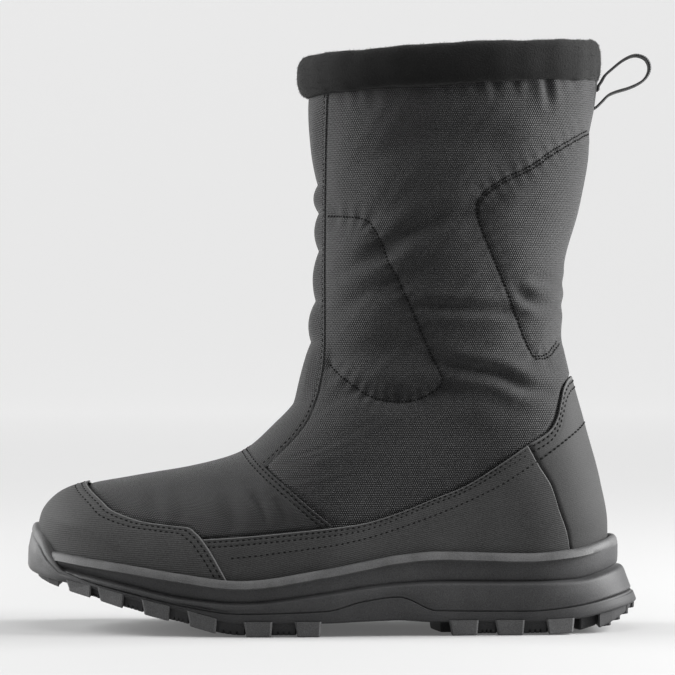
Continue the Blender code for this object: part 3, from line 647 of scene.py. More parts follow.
def join_copies(name, corners, faces, places, axes):
    """One small closed shape at many places, each with its own three axes, joined as one piece."""
    points = places[:, None] + np.einsum("ck,nkd->ncd", corners, axes)
    firsts = range(0, len(places) * len(corners), len(corners))
    all_faces = [tuple(first + k for k in face) for first in firsts for face in faces]
    mesh = bpy.data.meshes.new(name)
    mesh.from_pydata(points.reshape(-1, 3).tolist(), [], all_faces)
    mesh.shade_smooth()
    piece = bpy.data.objects.new(name, mesh)
    bpy.context.scene.collection.objects.link(piece)
    return piece


def wear(piece, finish, slot, *replaced):
    """Give a piece its finish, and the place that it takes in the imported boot."""
    piece.data.materials.clear()
    piece.data.materials.append(finish)
    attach(piece, "root")
    if replaced:
        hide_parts(*replaced)
    print(piece.name, "faces:", len(piece.data.polygons))
    return piece


# %% [markdown]
# ## Finishes
# All of the boot is black, so its materials differ by weave, grain and gloss. Cloth reads its own
# UV map, which is measured along the cloth, and moulded pieces read Object coordinates.

# %% Woven nylon
CELL_WIDE, CELL_HIGH = 0.00054, 0.00108    # one thread crossing of the shaft's coarse weave
WEAVE_WANDER = 0.0003                      # how far the threads stray, in spots of these sizes
WANDER_ACROSS, WANDER_UPWARD = 0.011, 0.007
FIBRE_SIZE, NYLON_CLOUDS = 0.0007, 0.02
WEAVE_DEEP = 0.00040
COOL = 0.001                               # the trace of blue in the boot's blacks


def woven_nylon():
    """Coarse plain weave: threads rise and dive in turn, like the squares of a chessboard, in rows."""
    finish, shader, uv = start_finish(
        "woven_nylon", "UV", {"Specular IOR Level": 0.28, "Sheen Weight": 0.2, "Sheen Roughness": 0.4})
    u, v = parts(uv)[:2]
    across = (u + noise(uv, WANDER_ACROSS) * WEAVE_WANDER) * (math.pi / CELL_WIDE)
    upward = (v + noise(uv, WANDER_UPWARD) * WEAVE_WANDER) * (math.pi / CELL_HIGH)
    weave = across.sine() * upward.sine()
    rows = (upward * 2).math("COSINE")
    speckle = noise(uv, FIBRE_SIZE, 1.0)
    cloudy = noise(uv, NYLON_CLOUDS)
    # The raised threads are painted lighter and the hollows between them darker, a painted shade that
    # follows the bump; the speckle and clouds are the nylon's own uneven tone.
    tone = weave * 0.42 - rows * 0.26 + speckle * 0.4 + cloudy * 0.2 + 0.2
    mix(tone, grey(0.001), grey(0.020, COOL)).feed(shader, "Base Color")
    (0.56 - weave * 0.10 + speckle * 0.1).feed(shader, "Roughness")
    bump(weave * 0.5 - rows * 0.4 + speckle * 0.3, 0.85, WEAVE_DEEP).feed(shader, "Normal")
    return finish


nylon = woven_nylon()
print("nodes in", nylon.name, len(nylon.node_tree.nodes))

# %% Coated cloth of the panels
RIB_PITCH, RIB_WANDER, RIB_WANDER_SIZE = 0.0010, 0.0003, 0.005
COAT_GRAIN, COAT_CLOUDS = 0.0006, 0.015
COAT_DEEP = 0.00022
COAT_DARK, COAT_LIGHT = 0.022, 0.078
PALE_EDGE_AND_HIGHLIGHT = 0.13           # a cut edge is painted pale: the cloth's pale inside, and a painted highlight along the roll


def coated_cloth(name, slant, rib_share, paleness):
    """Cloth under a thin coat: low ribs that run level or slant, and a fine grain; paleness paints shade.
    """
    finish, shader, place = start_finish(name, "Object", {
        "Specular IOR Level": 0.2, "Sheen Weight": 0.05})
    x, _, z = parts(place)
    across_ribs = z + x * slant + noise(place, RIB_WANDER_SIZE) * RIB_WANDER
    rib = (across_ribs * (2 * math.pi / RIB_PITCH)).sine() * rib_share
    grain = noise(place, COAT_GRAIN)
    tone = rib * 0.16 + (grain - 0.5) * 1.4 + noise(place, COAT_CLOUDS) * 0.3 + 0.35
    colour = mix(tone, grey(COAT_DARK * paleness), grey(COAT_LIGHT * paleness))
    # The cut edge is painted pale: partly the cloth's pale inside, partly a painted highlight where the
    # rolled edge catches the light.
    mix(wear_and_highlight_mask(place), colour, grey(PALE_EDGE_AND_HIGHLIGHT * paleness)).feed(shader, "Base Color")
    (0.62 + grain * 0.22).feed(shader, "Roughness")
    bump(rib * 0.4 + grain * 0.7, 0.5, COAT_DEEP).feed(shader, "Normal")
    return finish


# One cloth in three copies: the paleness is painted shade, darker on the mudguards and darkest on the
# counter, which the heel-side lamp lights most strongly.
cap_cloth = coated_cloth("coated_cap_cloth", 0.05, 1.0, 0.86)
guard_cloth = coated_cloth("coated_guard_cloth", 0.28, 0.7, 0.76)
counter_cloth = coated_cloth("coated_counter_cloth", -0.3, 0.25, 0.58)
print("coated cloths:", cap_cloth.name, guard_cloth.name, counter_cloth.name)

# %% Rubber and foam of the sole
MOULD_GRAIN, MOULD_CLOUDS = 0.0005, 0.012
MOULD_DEEP = 0.0002
# Pale rubber: real scuffs on the toe bumper, and the painted highlight on the midsole's lip.
SCUFF_AND_HIGHLIGHT = 0.17


def moulded(name, dark, light, roughness):
    """Moulded sole: a fine matt speckle, faint clouds, and paler blotches where real scuffs and painted
    highlights are marked.
    """
    finish, shader, place = start_finish(name, "Object", {"Specular IOR Level": 0.3})
    grain = noise(place, MOULD_GRAIN, 3.0)
    cloudy = noise(place, MOULD_CLOUDS)
    colour = mix((grain - 0.5) * 1.5 + cloudy * 0.4 + 0.3, grey(dark, COOL), grey(light, COOL))
    # Paler in blotches where the attribute marks it: real scuffs on the bumper, a painted highlight on
    # the midsole's lip.
    mix(wear_and_highlight_mask(place) * (cloudy + grain - 0.4), colour, grey(SCUFF_AND_HIGHLIGHT)).feed(shader, "Base Color")
    (roughness + grain * 0.2 + cloudy * 0.08).feed(shader, "Roughness")
    bump(grain, 0.4, MOULD_DEEP).feed(shader, "Normal")
    return finish


foam = moulded("midsole_foam", 0.010, 0.058, 0.42)
rubber = moulded("outsole_rubber", 0.008, 0.046, 0.46)
lug_rubber = moulded("lug_rubber", 0.026, 0.115, 0.50)
print("moulded:", foam.name, rubber.name, lug_rubber.name)

# %% Fleece, felt, webbing and thread
NAP_CLOUDS = 0.012
WEB_RIB, WEB_ROW = 0.0011, 0.0016          # pitch of the webbing's ribs along it and across it
WEB_FUZZ, WEB_DEEP = 0.0005, 0.0003
TWIST_SIZE, TWIST_DEEP = 0.0004, 0.0001


def napped(name, dark, light, nap_size, depth):
    """Fleece or felt: short tangled hair that glows a little at the edges."""
    finish, shader, place = start_finish(
        name, "Object", {"Specular IOR Level": 0.1, "Sheen Weight": 0.08, "Sheen Roughness": 0.6})
    nap = noise(place, nap_size, 4.0)
    mix((nap - 0.5) * 1.6 + noise(place, NAP_CLOUDS) * 0.4 + 0.3, dark, light).feed(shader, "Base Color")
    (0.9 + nap * 0.1).feed(shader, "Roughness")
    bump(nap, 0.9, depth).feed(shader, "Normal")
    return finish


def ribbed_webbing():
    """Narrow woven tape: small ribs in rows, and a little fuzz."""
    finish, shader, uv = start_finish("loop_webbing", "UV", {"Sheen Weight": 0.1})
    u, v = parts(uv)[:2]
    rib = (u * (2 * math.pi / WEB_RIB)).sine() * (v * (2 * math.pi / WEB_ROW)).sine()
    fuzz = noise(uv, WEB_FUZZ)
    mix(rib * 0.3 + fuzz * 0.7, grey(0.012, COOL), grey(0.055, COOL)).feed(shader, "Base Color")
    (0.6 + fuzz * 0.2).feed(shader, "Roughness")
    bump(rib * 0.6 + fuzz * 0.4, 0.7, WEB_DEEP).feed(shader, "Normal")
    return finish


def sewing_thread():
    """Twisted black thread with a dull shine."""
    finish, shader, place = start_finish("sewing_thread", "Object", {"Specular IOR Level": 0.1})
    twist = noise(place, TWIST_SIZE, 1.0)
    mix(twist, grey(0.002), grey(0.010)).feed(shader, "Base Color")
    (0.7 + twist * 0.2).feed(shader, "Roughness")
    bump(twist, 0.4, TWIST_DEEP).feed(shader, "Normal")
    return finish


fleece = napped("collar_fleece", grey(0.001), grey(0.010), 0.0008, 0.0004)
lining_fleece = napped("lining_fleece", grey(0.010), grey(0.030, COOL), 0.0016, 0.0008)
felt = napped("insole_felt", grey(0.030, COOL), grey(0.075, COOL), 0.0010, 0.0004)
webbing = ribbed_webbing()
thread = sewing_thread()
print("soft finishes:", fleece.name, felt.name, webbing.name, thread.name)

# %% [markdown]
# ## Padded shaft
# The shaft is nylon over wadding, quilted along two curved seams on each side, and it sags in soft
# folds at the ankle. A cloth simulation would fold where it liked, so the folds are listed instead:
# each is a line with a depth and a width, sunk into the form as a soft trough with a low swelling on
# either side.

# %% Quilting seams and folds
QUILT_FRONT = [(-6, 205), (11, 203), (17.5, 196.5), (22, 185.5), (34.5, 160.5), (44.5, 137.5),
               (50.5, 125), (46.5, 118.5), (33.5, 114), (16.5, 116), (3, 124), (-6, 132)]
QUILT_BACK = [(124.5, 247.5), (106.5, 237), (94, 228.5), (79.5, 221.5), (69.5, 213.5), (68, 203),
              (78.5, 178), (93.6, 140.5), (99.3, 136.0), (104.9, 138.0), (109.5, 143.5)]
FOLDS = (   # depth and half width, then places along the fold, all in millimetres
    (1.1, 8.0, [(8, 223), (13.5, 230), (30, 238), (49.5, 242.5), (72, 241.5), (81, 229)]),
    (1.7, 4.2, [(0.5, 175.5), (23.5, 189), (34.5, 196.5), (49.5, 203.5), (67.5, 207.5), (77, 212)]),
    (1.0, 4.6, [(-3, 157), (13.5, 168), (30, 173), (44.5, 178)]),
    (1.7, 2.6, [(33, 161), (60.5, 159.5), (80, 158.5), (89, 157)]),
    (2.6, 3.2, [(46, 134), (62, 130), (77.5, 127), (93, 120.5), (108, 120)]),
    (1.0, 5.0, [(55, 122), (70, 119), (86, 113)]),
    (1.3, 4.5, [(-9.5, 113), (9, 119.5), (30, 115), (49.5, 119.5), (64, 114.5)]),
    (0.9, 6.0, [(4, 134), (23.5, 139), (41, 137.5)]),
    (1.9, 2.8, [(86, 170.5), (95.5, 162.5), (110, 161)]),
    (1.2, 2.6, [(90, 172), (100, 173.5), (112, 172)]),
    (1.2, 2.0, [(74, 280), (76, 263)]),
    (1.0, 1.8, [(84.5, 280), (86, 264)]),
    (1.4, 2.0, [(101, 282), (103, 258)]),
)
SEAM_DEPTH, SEAM_WIDTH = 0.0006, 0.0014      # the stitched line itself
SINK_DEPTH, SINK_WIDTH = 0.0013, 0.0085      # the padding drawn down round it
PUCKER_HEIGHT, PUCKER_PITCH, PUCKER_REACH = 0.00028, 0.0058, 0.0055
PUCKER_DRIFT = 90                            # makes the puckers uneven along the seam
SWELL_SHARE = 0.55                           # of a fold's depth, on both sides of it
SWELL_AWAY, SWELL_WIDTH = 2.1, 1.2           # its place and its width, in half widths of the fold
FOLD_ENDS, FADE_POWER = (0.04, 0.96), 0.6    # how a fold runs out towards its ends
TUCKED = -0.0006                             # cloth under a panel lies a little lower
EDGE_SINK, EDGE_SINK_WIDTH = 0.0012, 0.0012  # and is drawn down along the panel's edge
STRIP_SINK, STRIP_SINK_WIDTH = 0.0003, 0.0006
FOLD_CLEAR, SEAM_CLEAR, GATHER_CLEAR = 0.008, 0.003, 0.010   # where relief begins, beside a panel


def beside(points, line):
    """Distance of side-view points to a line, and how far along the line the nearest place lies."""
    gap, place, passed = np.full(len(points), np.inf), np.zeros(len(points)), 0.0
    for start, step in zip(line[:-1], np.diff(line, axis=0)):
        length = np.linalg.norm(step)
        t = np.clip((points - start) @ step / length ** 2, 0, 1)
        distance = np.linalg.norm(points - start - t[:, None] * step, axis=1)
        nearer = distance < gap
        gap[nearer], place[nearer] = distance[nearer], passed + t[nearer] * length
        passed += length
    return gap, place / passed


def sunk_folds(points, folds):
    """Troughs along folds, with a low swelling on either side, running out at both ends."""
    height = np.zeros(len(points))
    for depth, width, places in folds:
        gap, place = beside(points, curve_through(np.array(places) * MM, 40))
        fading = np.sin(math.pi * np.clip(place, *FOLD_ENDS)) ** FADE_POWER * depth * MM
        height -= fading * bell(gap, width * MM)
        height += SWELL_SHARE * fading * bell(gap - SWELL_AWAY * width * MM, SWELL_WIDTH * width * MM)
    return height


def quilted(points, seam):
    """A stitched seam in padding: a narrow groove, the padding drawn down, and puckers along it."""
    line = curve_through(np.array(seam) * MM, 80)
    gap, place = beside(points, line)
    along = place * np.linalg.norm(np.diff(line, axis=0), axis=1).sum()
    pucker = np.sin(along * 2 * math.pi / PUCKER_PITCH + np.sin(along * PUCKER_DRIFT))
    groove = SEAM_DEPTH * bell(gap, SEAM_WIDTH) + SINK_DEPTH * bell(gap, SINK_WIDTH)
    return PUCKER_HEIGHT * (pucker * bell(gap, PUCKER_REACH)) - groove


def under_panels(points):
    """Whether panels lie over the shaft, and the distances to the nearest panel edge and to the strip."""
    guard = np.array(MUDGUARD_TOP) * MM
    counter = np.array(COUNTER_TOP[::-1]) * MM
    top = np.concatenate([guard, counter[1:]])
    vamp = np.array(VAMP_SEAM[1:]) * MM
    below = points[:, 1] < np.interp(points[:, 0], top[:, 0], top[:, 1])
    ahead = points[:, 0] < np.interp(points[:, 1], vamp[::-1, 1], vamp[::-1, 0])
    ahead &= points[:, 1] < vamp[0, 1]
    gap = np.minimum(beside(points, top)[0], beside(points, vamp)[0])
    return below | ahead, gap, beside(points, np.array(STRIP_SEAM) * MM)[0]


# %% Relief of the shaft
DRIFT_HEIGHT = 0.0002                        # unevenness of the padding
DRIFT_AROUND, DRIFT_UPWARD = 200, 230        # its waves in a metre of cloth, in radians
DRIFT_BEND, DRIFT_START = 145, 1.1
GATHER_HEIGHT, GATHER_PITCH, GATHER_REACH = 0.0003, 0.0105, 0.0070   # gathers under the collar
GATHER_BEND, GATHER_DRIFT = 1.4, 130         # make the gathers uneven
SHARE_LENGTH = 0.36                          # of leg from share 0 to 1, near the collar


def shaft_relief(share, turn):
    """How far the padded cloth stands out of the plain form."""
    points = from_side(share, turn).reshape(-1, 2)
    around, upward = np.moveaxis(cloth_uv(share, turn).reshape(-1, 2), -1, 0)
    hidden, panel_gap, strip_gap = under_panels(points)
    gap = np.minimum(panel_gap, strip_gap)
    height = sunk_folds(points, FOLDS)
    drift = np.sin(around * DRIFT_AROUND + 2 * np.sin(upward * DRIFT_BEND))
    drift *= np.sin(upward * DRIFT_UPWARD + DRIFT_START)
    height += DRIFT_HEIGHT * drift * np.sin(turn.ravel()) ** 2
    height *= soft_step(0.0, FOLD_CLEAR, gap)
    padding = quilted(points, QUILT_FRONT) + quilted(points, QUILT_BACK)
    height += padding * soft_step(0.0, SEAM_CLEAR, gap)
    below_top = (1 - share.ravel()) * SHARE_LENGTH
    gather = np.cos(around * 2 * math.pi / GATHER_PITCH + GATHER_BEND * np.sin(around * GATHER_DRIFT))
    height += GATHER_HEIGHT * gather * bell(below_top, GATHER_REACH) * soft_step(0.0, GATHER_CLEAR, gap)
    height -= EDGE_SINK * bell(panel_gap, EDGE_SINK_WIDTH)
    height -= STRIP_SINK * bell(strip_gap, STRIP_SINK_WIDTH)
    return np.where(hidden, TUCKED, height).reshape(share.shape)


# %% Shaft
COLUMNS = 360
# Few rows where panels lie over the shaft, and many where it shows
SHAFT_SHARES = np.concatenate([np.linspace(0.04, 0.30, 26)[:-1], np.linspace(0.30, 1.0, 205)])
SHELL_THICK = 0.0012
BACK_ROWS = 24
FOLD_ROOM = 0.0042        # below the collar the inner walls lie deeper, clear of the folds
ROOM_SHARES = (1.0, 0.965)
ring_turns = np.linspace(-math.pi, math.pi, COLUMNS + 1)


def behind_folds(share):
    return FOLD_ROOM * soft_step(*ROOM_SHARES, share)


def closed_wall(outside, inside):
    """Rows of a wall: up its outside, down its inside and back to where it began."""
    return np.concatenate([outside, inside, outside[:1]])


share, turn = np.meshgrid(SHAFT_SHARES, ring_turns, indexing="ij")
outside = on_form(share, turn, shaft_relief(share, turn))
back_shares = np.linspace(1.0, SHAFT_SHARES[0], BACK_ROWS)
back_share, back_turn = np.meshgrid(back_shares, ring_turns, indexing="ij")
inside = on_form(back_share, back_turn, -SHELL_THICK - behind_folds(back_share))
shaft_points = closed_wall(outside, inside)
shaft_uv = closed_wall(level_uv(share, turn), level_uv(back_share, back_turn))
shaft = wear(lay_grid("shaft_cloth", shaft_points, shaft_uv), nylon, "shaft_fabric", "upper")

# %% [markdown]
# ## Lining and insole
# Inside the collar a thin fleece lining runs down to the insole. It is a second wall inside the
# shaft, a plain closed grid, because only its upper part can be seen. The insole is a felt slab
# that lies in the bottom of the upper; its outline is the lowest ring, drawn in by the wall.

# %% Lining
WALL = 0.0030             # shell, padding and lining together
LINING_THICK = 0.0012
RIPPLE = 0.0003           # height of the waves of the loose fleece
lining_shares = np.linspace(0.03, 1.0, 60)
lining_turns = np.linspace(-math.pi, math.pi, 181)

share, turn = np.meshgrid(lining_shares, lining_turns, indexing="ij")
ripple = RIPPLE * np.sin(turn * 23 + 3 * np.sin(share * 40)) * np.sin(share * 90)
outside = on_form(share, turn, LINING_THICK - WALL - behind_folds(share))
inside = on_form(share, turn, ripple - WALL - behind_folds(share))[::-1]
lining_points = closed_wall(outside, inside)
lining_uv = closed_wall(cloth_uv(share, turn), cloth_uv(share, turn)[::-1])
wear(lay_grid("fleece_lining", lining_points, lining_uv), lining_fleece, "collar_fleece")

# %% Rings of the sole
SOLE_COLUMNS = 480
sole_turns = np.linspace(-math.pi, math.pi, SOLE_COLUMNS + 1)


def plan_out(ring):
    """The way out of a closed ring in the plan; its last point repeats its first."""
    points = ring[:-1]
    along = np.roll(points, -1, axis=0) - np.roll(points, 1, axis=0)
    out = np.stack([along[:, 1], -along[:, 0], np.zeros(len(points))], axis=-1)
    out /= np.linalg.norm(out, axis=1, keepdims=True)
    return np.concatenate([out, out[:1]])


sole_ring = boot_form(0.0, sole_turns)
sole_out = plan_out(sole_ring)
sole_x = sole_ring[:, 0]
heel_flare = np.clip(sole_out[:, 0], 0, 1) ** 2


def level(height, stand_out, heel_out=None):
    """A ring of the sole at a height, some way out of the upper, and its own way out behind the heel."""
    distance = np.broadcast_to(stand_out, sole_x.shape)
    if heel_out is not None:
        distance = distance + (heel_out - distance) * heel_flare
    ring = sole_ring + sole_out * distance[:, None]
    ring[:, 2] = height
    return ring


def middle_of(ring):
    """The ring drawn together to the line half way between its sides, which closes a sole piece."""
    return (ring + ring[::-1]) / 2


def ring_uv(rings):
    return np.stack([rings[..., 0], rings[..., 1]], axis=-1)


print("sole ring:", len(sole_ring), "points")

# %% Insole
INSOLE_THICK = 0.0040
INSOLE_INSET = 0.0036
INSOLE_FLAT = 0.012       # how far in the top is flat
FELT_ROUND = 0.0012

low_insole = level(sole_ring[:, 2], -INSOLE_INSET)
rings = [middle_of(low_insole), low_insole]
for angle in np.linspace(0, math.pi / 2, 5):
    raised = sole_ring[:, 2] + INSOLE_THICK - FELT_ROUND * (1 - math.sin(angle))
    rings.append(level(raised, -INSOLE_INSET - FELT_ROUND * (1 - math.cos(angle))))
flat_top = level(sole_ring[:, 2] + INSOLE_THICK, -INSOLE_FLAT)
rings = np.array([*rings, flat_top, middle_of(flat_top)])
wear(lay_grid("felt_insole", rings, ring_uv(rings)), felt, "insole_felt", "insole")

# %% [markdown]
# ## Midsole
# The midsole is moulded foam. Its side has a lip round the upper, a drawn-in wall, a ledge along
# the forefoot that turns into a groove at the heel, and a rounded band down to the outsole. It
# could be bevelled from a block, but all of it follows the foot's outline, so it is a stack of
# rings: each row of the profile gives a height and how far it stands out, and the rings are closed
# along the middle line at the bottom and the top.

# %% Toe bumper and edges
BUMPER_EDGE = table(   # upper edge of the outsole round the toe, where it climbs to the top of the bumper
    "x z",
    (-0.1490, 0.0537), (-0.1465, 0.0500), (-0.1420, 0.0450), (-0.1390, 0.0400), (-0.1360, 0.0355),
    (-0.1320, 0.0305), (-0.1215, 0.0262), (-0.1110, 0.0232),
)
BUMPER_WALL = 0.0077
BUMPER_START, BUMPER_END = -0.141, -0.128
COVER_START, COVER_END = -0.124, -0.112   # where the outsole stops covering the foot of the midsole
COVERED = 0.0012                          # how far the midsole stays behind the bumper's face
COVER_FADE = (0.0008, -0.0006)            # heights over the outsole's edge where that begins and is full
EDGE_START = -0.118                       # where the outsole's edge begins to follow the tray

bumper = 1 - soft_step(BUMPER_START, BUMPER_END, sole_x)
on_bumper = smooth(BUMPER_EDGE["x"], BUMPER_EDGE["z"], sole_x)
plain_edge = soft_step(EDGE_START, BUMPER_EDGE["x"][-1], sole_x)
outsole_edge = on_bumper + (sole("tray", sole_x) - on_bumper) * plain_edge
low = sole("low", sole_x)
bumper_out = low + (BUMPER_WALL - low) * bumper
print("bumper rises to", round(float(outsole_edge.max()), 4))

# %% Midsole
LIP_HEIGHT = 0.0042
LIP_PROUD, BAND_PROUD = 0.0016, 0.0013
LIP_INSIDE = 0.0018                         # the upper and its panels stand inside the lip
# The lip is painted paler, from the shelf under it over its top: a painted highlight where the light from
# above falls.
LIP_HIGHLIGHT, LIP_HIGHLIGHT_FADE = 0.40, 0.0003
CUP_DEPTH = 0.0060
WALL_LEAN = 0.0009                          # the wall under the lip leans in at its foot
RECESS_START, RECESS_END = -0.139, -0.127   # where the recess under the lip begins, behind the bumper
FINE_GROOVE = 0.0005                        # depth of the fine groove along the forefoot
GROOVE_START, GROOVE_END = -0.065, -0.045   # where it begins to run out, and where it has run out
HEEL_RISE = 0.0030                          # the sole's lines climb round the back of the heel

tray, step, lip = (sole(column, sole_x) for column in ("tray", "step", "lip"))
tray = tray + HEEL_RISE * heel_flare
recess = soft_step(RECESS_START, RECESS_END, sole_x)
band = sole("high", sole_x) + BAND_PROUD
high = band - LIP_PROUD * recess
wall = high - WALL_LEAN * recess
under_lip = lip - LIP_HEIGHT
fine = FINE_GROOVE * (1 - soft_step(GROOVE_START, GROOVE_END, sole_x))
profile = [   # each row: its height, how far out it stands, and how far out behind the heel
    (tray - 0.0010, low - 0.0012, 0.0112),
    (tray + 0.0002, low - 0.0009, 0.0115),
    (tray + 0.0007, low - 0.0002, 0.0121),
    (tray + 0.0011, low, 0.0124),
    (tray + 0.0013, low - fine, 0.0124),
    (tray + 0.0015, low - fine, 0.0124),
    (tray + 0.0017, low + 0.0001, 0.0123),
    ((tray + step) / 2, low + 0.0004, 0.0106),
    (step - 0.0022, low + 0.0003, 0.0092),
    (step - 0.0012, low + 0.0001, 0.0086),
    (step - 0.0006, low - 0.0003, 0.0080),
    (step - 0.0002, low - 0.0009, 0.0072),
    (step, (low + wall) / 2 - 0.0007, 0.0055),
    (step + 0.0005, wall - 0.0007, 0.0049),
    (step + 0.0010, wall - 0.0003, 0.0054),
    (step + 0.0018, wall, 0.0058),
    ((step + under_lip) / 2, (wall + high) / 2, 0.0060),
    (under_lip - 0.0007, high, 0.0060),
    (under_lip - 0.0001, high, 0.0059),
    (under_lip, band + 0.0004, 0.0059),
    (under_lip + 0.0004, band + 0.0008, 0.0059),
    (lip - 0.0018, band - 0.0001, 0.0055),
    (lip - 0.0008, band - 0.0008, 0.0049),
    (lip - 0.0002, band - 0.0014, 0.0042),
    (lip, band - 0.0021, 0.0034),
    (lip - 0.0002, LIP_INSIDE + 0.0006, LIP_INSIDE + 0.0006),
    (lip - 0.0012, LIP_INSIDE, LIP_INSIDE),
    (lip - CUP_DEPTH, LIP_INSIDE - 0.0008, LIP_INSIDE - 0.0008),
]
rings = [level(*row) for row in profile]
for ring in rings:
    distance = ((ring - sole_ring) * sole_out).sum(axis=1)
    covered = soft_step(COVER_END, COVER_START, sole_x)
    covered = covered * soft_step(*COVER_FADE, ring[:, 2] - outsole_edge)
    too_far = np.clip(distance - (bumper_out - COVERED), 0, None)
    ring -= sole_out * (covered * too_far)[:, None]
rings = np.array([middle_of(rings[0]), *rings, middle_of(rings[-1])])
# Painted highlight: the rows of the lip are marked to be painted paler.
lip_highlight = LIP_HIGHLIGHT * soft_step(-LIP_HIGHLIGHT_FADE, 0.0, rings[..., 2] - under_lip)
midsole = lay_grid("moulded_midsole", rings, ring_uv(rings), lip_highlight)
wear(midsole, foam, "midsole_foam", "midsole")

# %% [markdown]
# ## Outsole
# The outsole is a rubber slab that climbs in front to a toe bumper with a raised rim, and carries
# the lugs. The slab is a stack of rings like the midsole. The lugs are blocks with cut corners;
# they stand along both sides, with small siped blocks behind the gaps, in swept pairs down the
# middle, and as teeth behind the heel.

# %% Outsole slab
TRAY_EDGE = 0.0030
TRAY_RECESS = 0.0004
SLAB_ROUND, BUMPER_ROUND = 0.0012, 0.0030               # radius along its foot, and more under the toe
TOP_ROUND, RIM_ROUND = 0.0005, 0.0016                   # and along its upper edge
FLAT_BOTTOM = 0.0030
RIM_EDGE, RIM_BELOW = 0.0010, 0.0030                    # the groove under the bumper's rim: its place,
RIM_HEIGHTS = (-0.0009, -0.0003, 0.0003, 0.0009)        # and the heights and depths of its section
RIM_OUT = (0.0, -0.0009, -0.0009, 0.0001)
FACE_SWELL = 0.0003
OUTER_FACE = 0.001        # rows farther out than this belong to the face that leans
BUMPER_WEAR = 0.75
LEAN_START, LEAN_END, TOP_LEAN = 0.034, 0.055, 0.0026   # the bumper's face leans back towards its top
HEEL_BOTTOM, HEEL_FOOT, HEEL_FACE = 0.0110, 0.0152, 0.0145   # how far out rows stand behind the heel
HEEL_STEPS = (0.0137, 0.0134, 0.0133, 0.0131)
HEEL_TOP, HEEL_TRAY = 0.0127, 0.0085

bottom = sole("tread", sole_x) + sole("lug", sole_x) + HEEL_RISE * heel_flare
edge = outsole_edge + HEEL_RISE * heel_flare
inside = (low - TRAY_EDGE) * (1 - bumper)
groove = edge - RIM_EDGE - RIM_BELOW * bumper
round_low = SLAB_ROUND + BUMPER_ROUND * bumper
round_top = TOP_ROUND + RIM_ROUND * bumper
profile = [(bottom, bumper_out - round_low - FLAT_BOTTOM, HEEL_BOTTOM)]
for angle in np.linspace(0, math.pi / 2, 6):
    draw_in = 1 - math.sin(angle)
    profile.append((bottom + round_low * (1 - math.cos(angle)), bumper_out - round_low * draw_in,
                    HEEL_FOOT - SLAB_ROUND * draw_in))
profile.append(((bottom + round_low + groove) / 2, bumper_out + FACE_SWELL, HEEL_FACE))
for above, out, heel_out in zip(RIM_HEIGHTS, RIM_OUT, HEEL_STEPS):
    profile.append((groove + above * bumper, bumper_out + out * bumper, heel_out))
for angle in np.linspace(0, math.pi / 2, 6):
    draw_in = 1 - math.cos(angle)
    profile.append((edge - round_top * (1 - math.sin(angle)), bumper_out - round_top * draw_in,
                    HEEL_TOP - TOP_ROUND * draw_in))
profile += [(edge, inside, HEEL_TRAY), (sole("tray", sole_x) - TRAY_RECESS, inside, HEEL_TRAY)]
rings = []
for height, out, heel_out in profile:
    lean = TOP_LEAN * bumper * soft_step(LEAN_START, LEAN_END, height)
    rings.append(level(height, out - lean * (out > OUTER_FACE), heel_out))
rings = np.array([middle_of(rings[0]), *rings, middle_of(rings[-1])])
slab = lay_grid("outsole_slab", rings, ring_uv(rings), BUMPER_WEAR * bumper)
wear(slab, rubber, "outsole_rubber", "outsole")

# %% Plans of the lugs
SIDE_LUGS = (   # start and end
    (-0.1340, -0.1210), (-0.1180, -0.1047), (-0.0960, -0.0820), (-0.0737, -0.0591), (-0.0462, -0.0322),
    (-0.0215, -0.0085), (0.0535, 0.0680), (0.0760, 0.0905), (0.1010, 0.1150),
)
SIDE_LUG_DEPTH = 0.0150
BEHIND_SIDE_LUGS = SIDE_LUG_DEPTH + 0.0040
MIDDLE_LUGS = (   # start, end, and distance from the edge of the sole
    (-0.1440, -0.1375, 0.0040), (-0.1235, -0.1125, BEHIND_SIDE_LUGS),
    (-0.1000, -0.0890, BEHIND_SIDE_LUGS), (-0.0780, -0.0660, BEHIND_SIDE_LUGS),
    (-0.0540, -0.0420, BEHIND_SIDE_LUGS), (-0.0290, -0.0180, BEHIND_SIDE_LUGS),
    (0.0500, 0.0600, BEHIND_SIDE_LUGS), (0.0710, 0.0820, BEHIND_SIDE_LUGS),
    (0.0950, 0.1050, BEHIND_SIDE_LUGS), (0.1180, 0.1270, 0.0060),
)
MIDDLE_LUG_SPLIT = 0.0030
MIDDLE_LUG_SWEEP = 0.0050
LUG_TAPER = 0.0008
SIPES = (0.25, 0.5, 0.75)   # places of the sipes along a small block's outer edge
SIPE_HALF, SIPE_DEEP, SIPE_HIGH = 0.00045, 0.0022, 0.0016
CORNER_CUT = 0.0009
LUG_PROUD = 0.0009        # the outer face of a side lug stands out of the slab
FRONT_LEAN = 0.0007       # how far the front wall of a side lug leans back towards the floor
GAP_BLOCK_INSET, GAP_BLOCK_DEPTH = 0.0035, 0.0120   # small blocks behind the gaps between side lugs
GAP_BLOCK_SHORT, GAP_BLOCK_REACH = 0.0007, 0.0015
TOE_BLOCK_END, TOE_BLOCK_INSET = -0.1372, 0.0028    # the tread under the bumper
HEEL_EDGE = 0.0148

tread_edge = level(0.0, low + LUG_PROUD, HEEL_EDGE)[:, :2]
half = SOLE_COLUMNS // 2
edge_lines = {-1: tread_edge[half:], 1: tread_edge[half::-1]}


def cut_corners(corners):
    """An outline with each corner replaced by two points."""
    points = []
    for before, here, after in zip(np.roll(corners, 1, axis=0), corners, np.roll(corners, -1, axis=0)):
        for other in (before, after):
            points.append(here + (other - here) * CORNER_CUT / np.linalg.norm(other - here))
    return np.array(points)


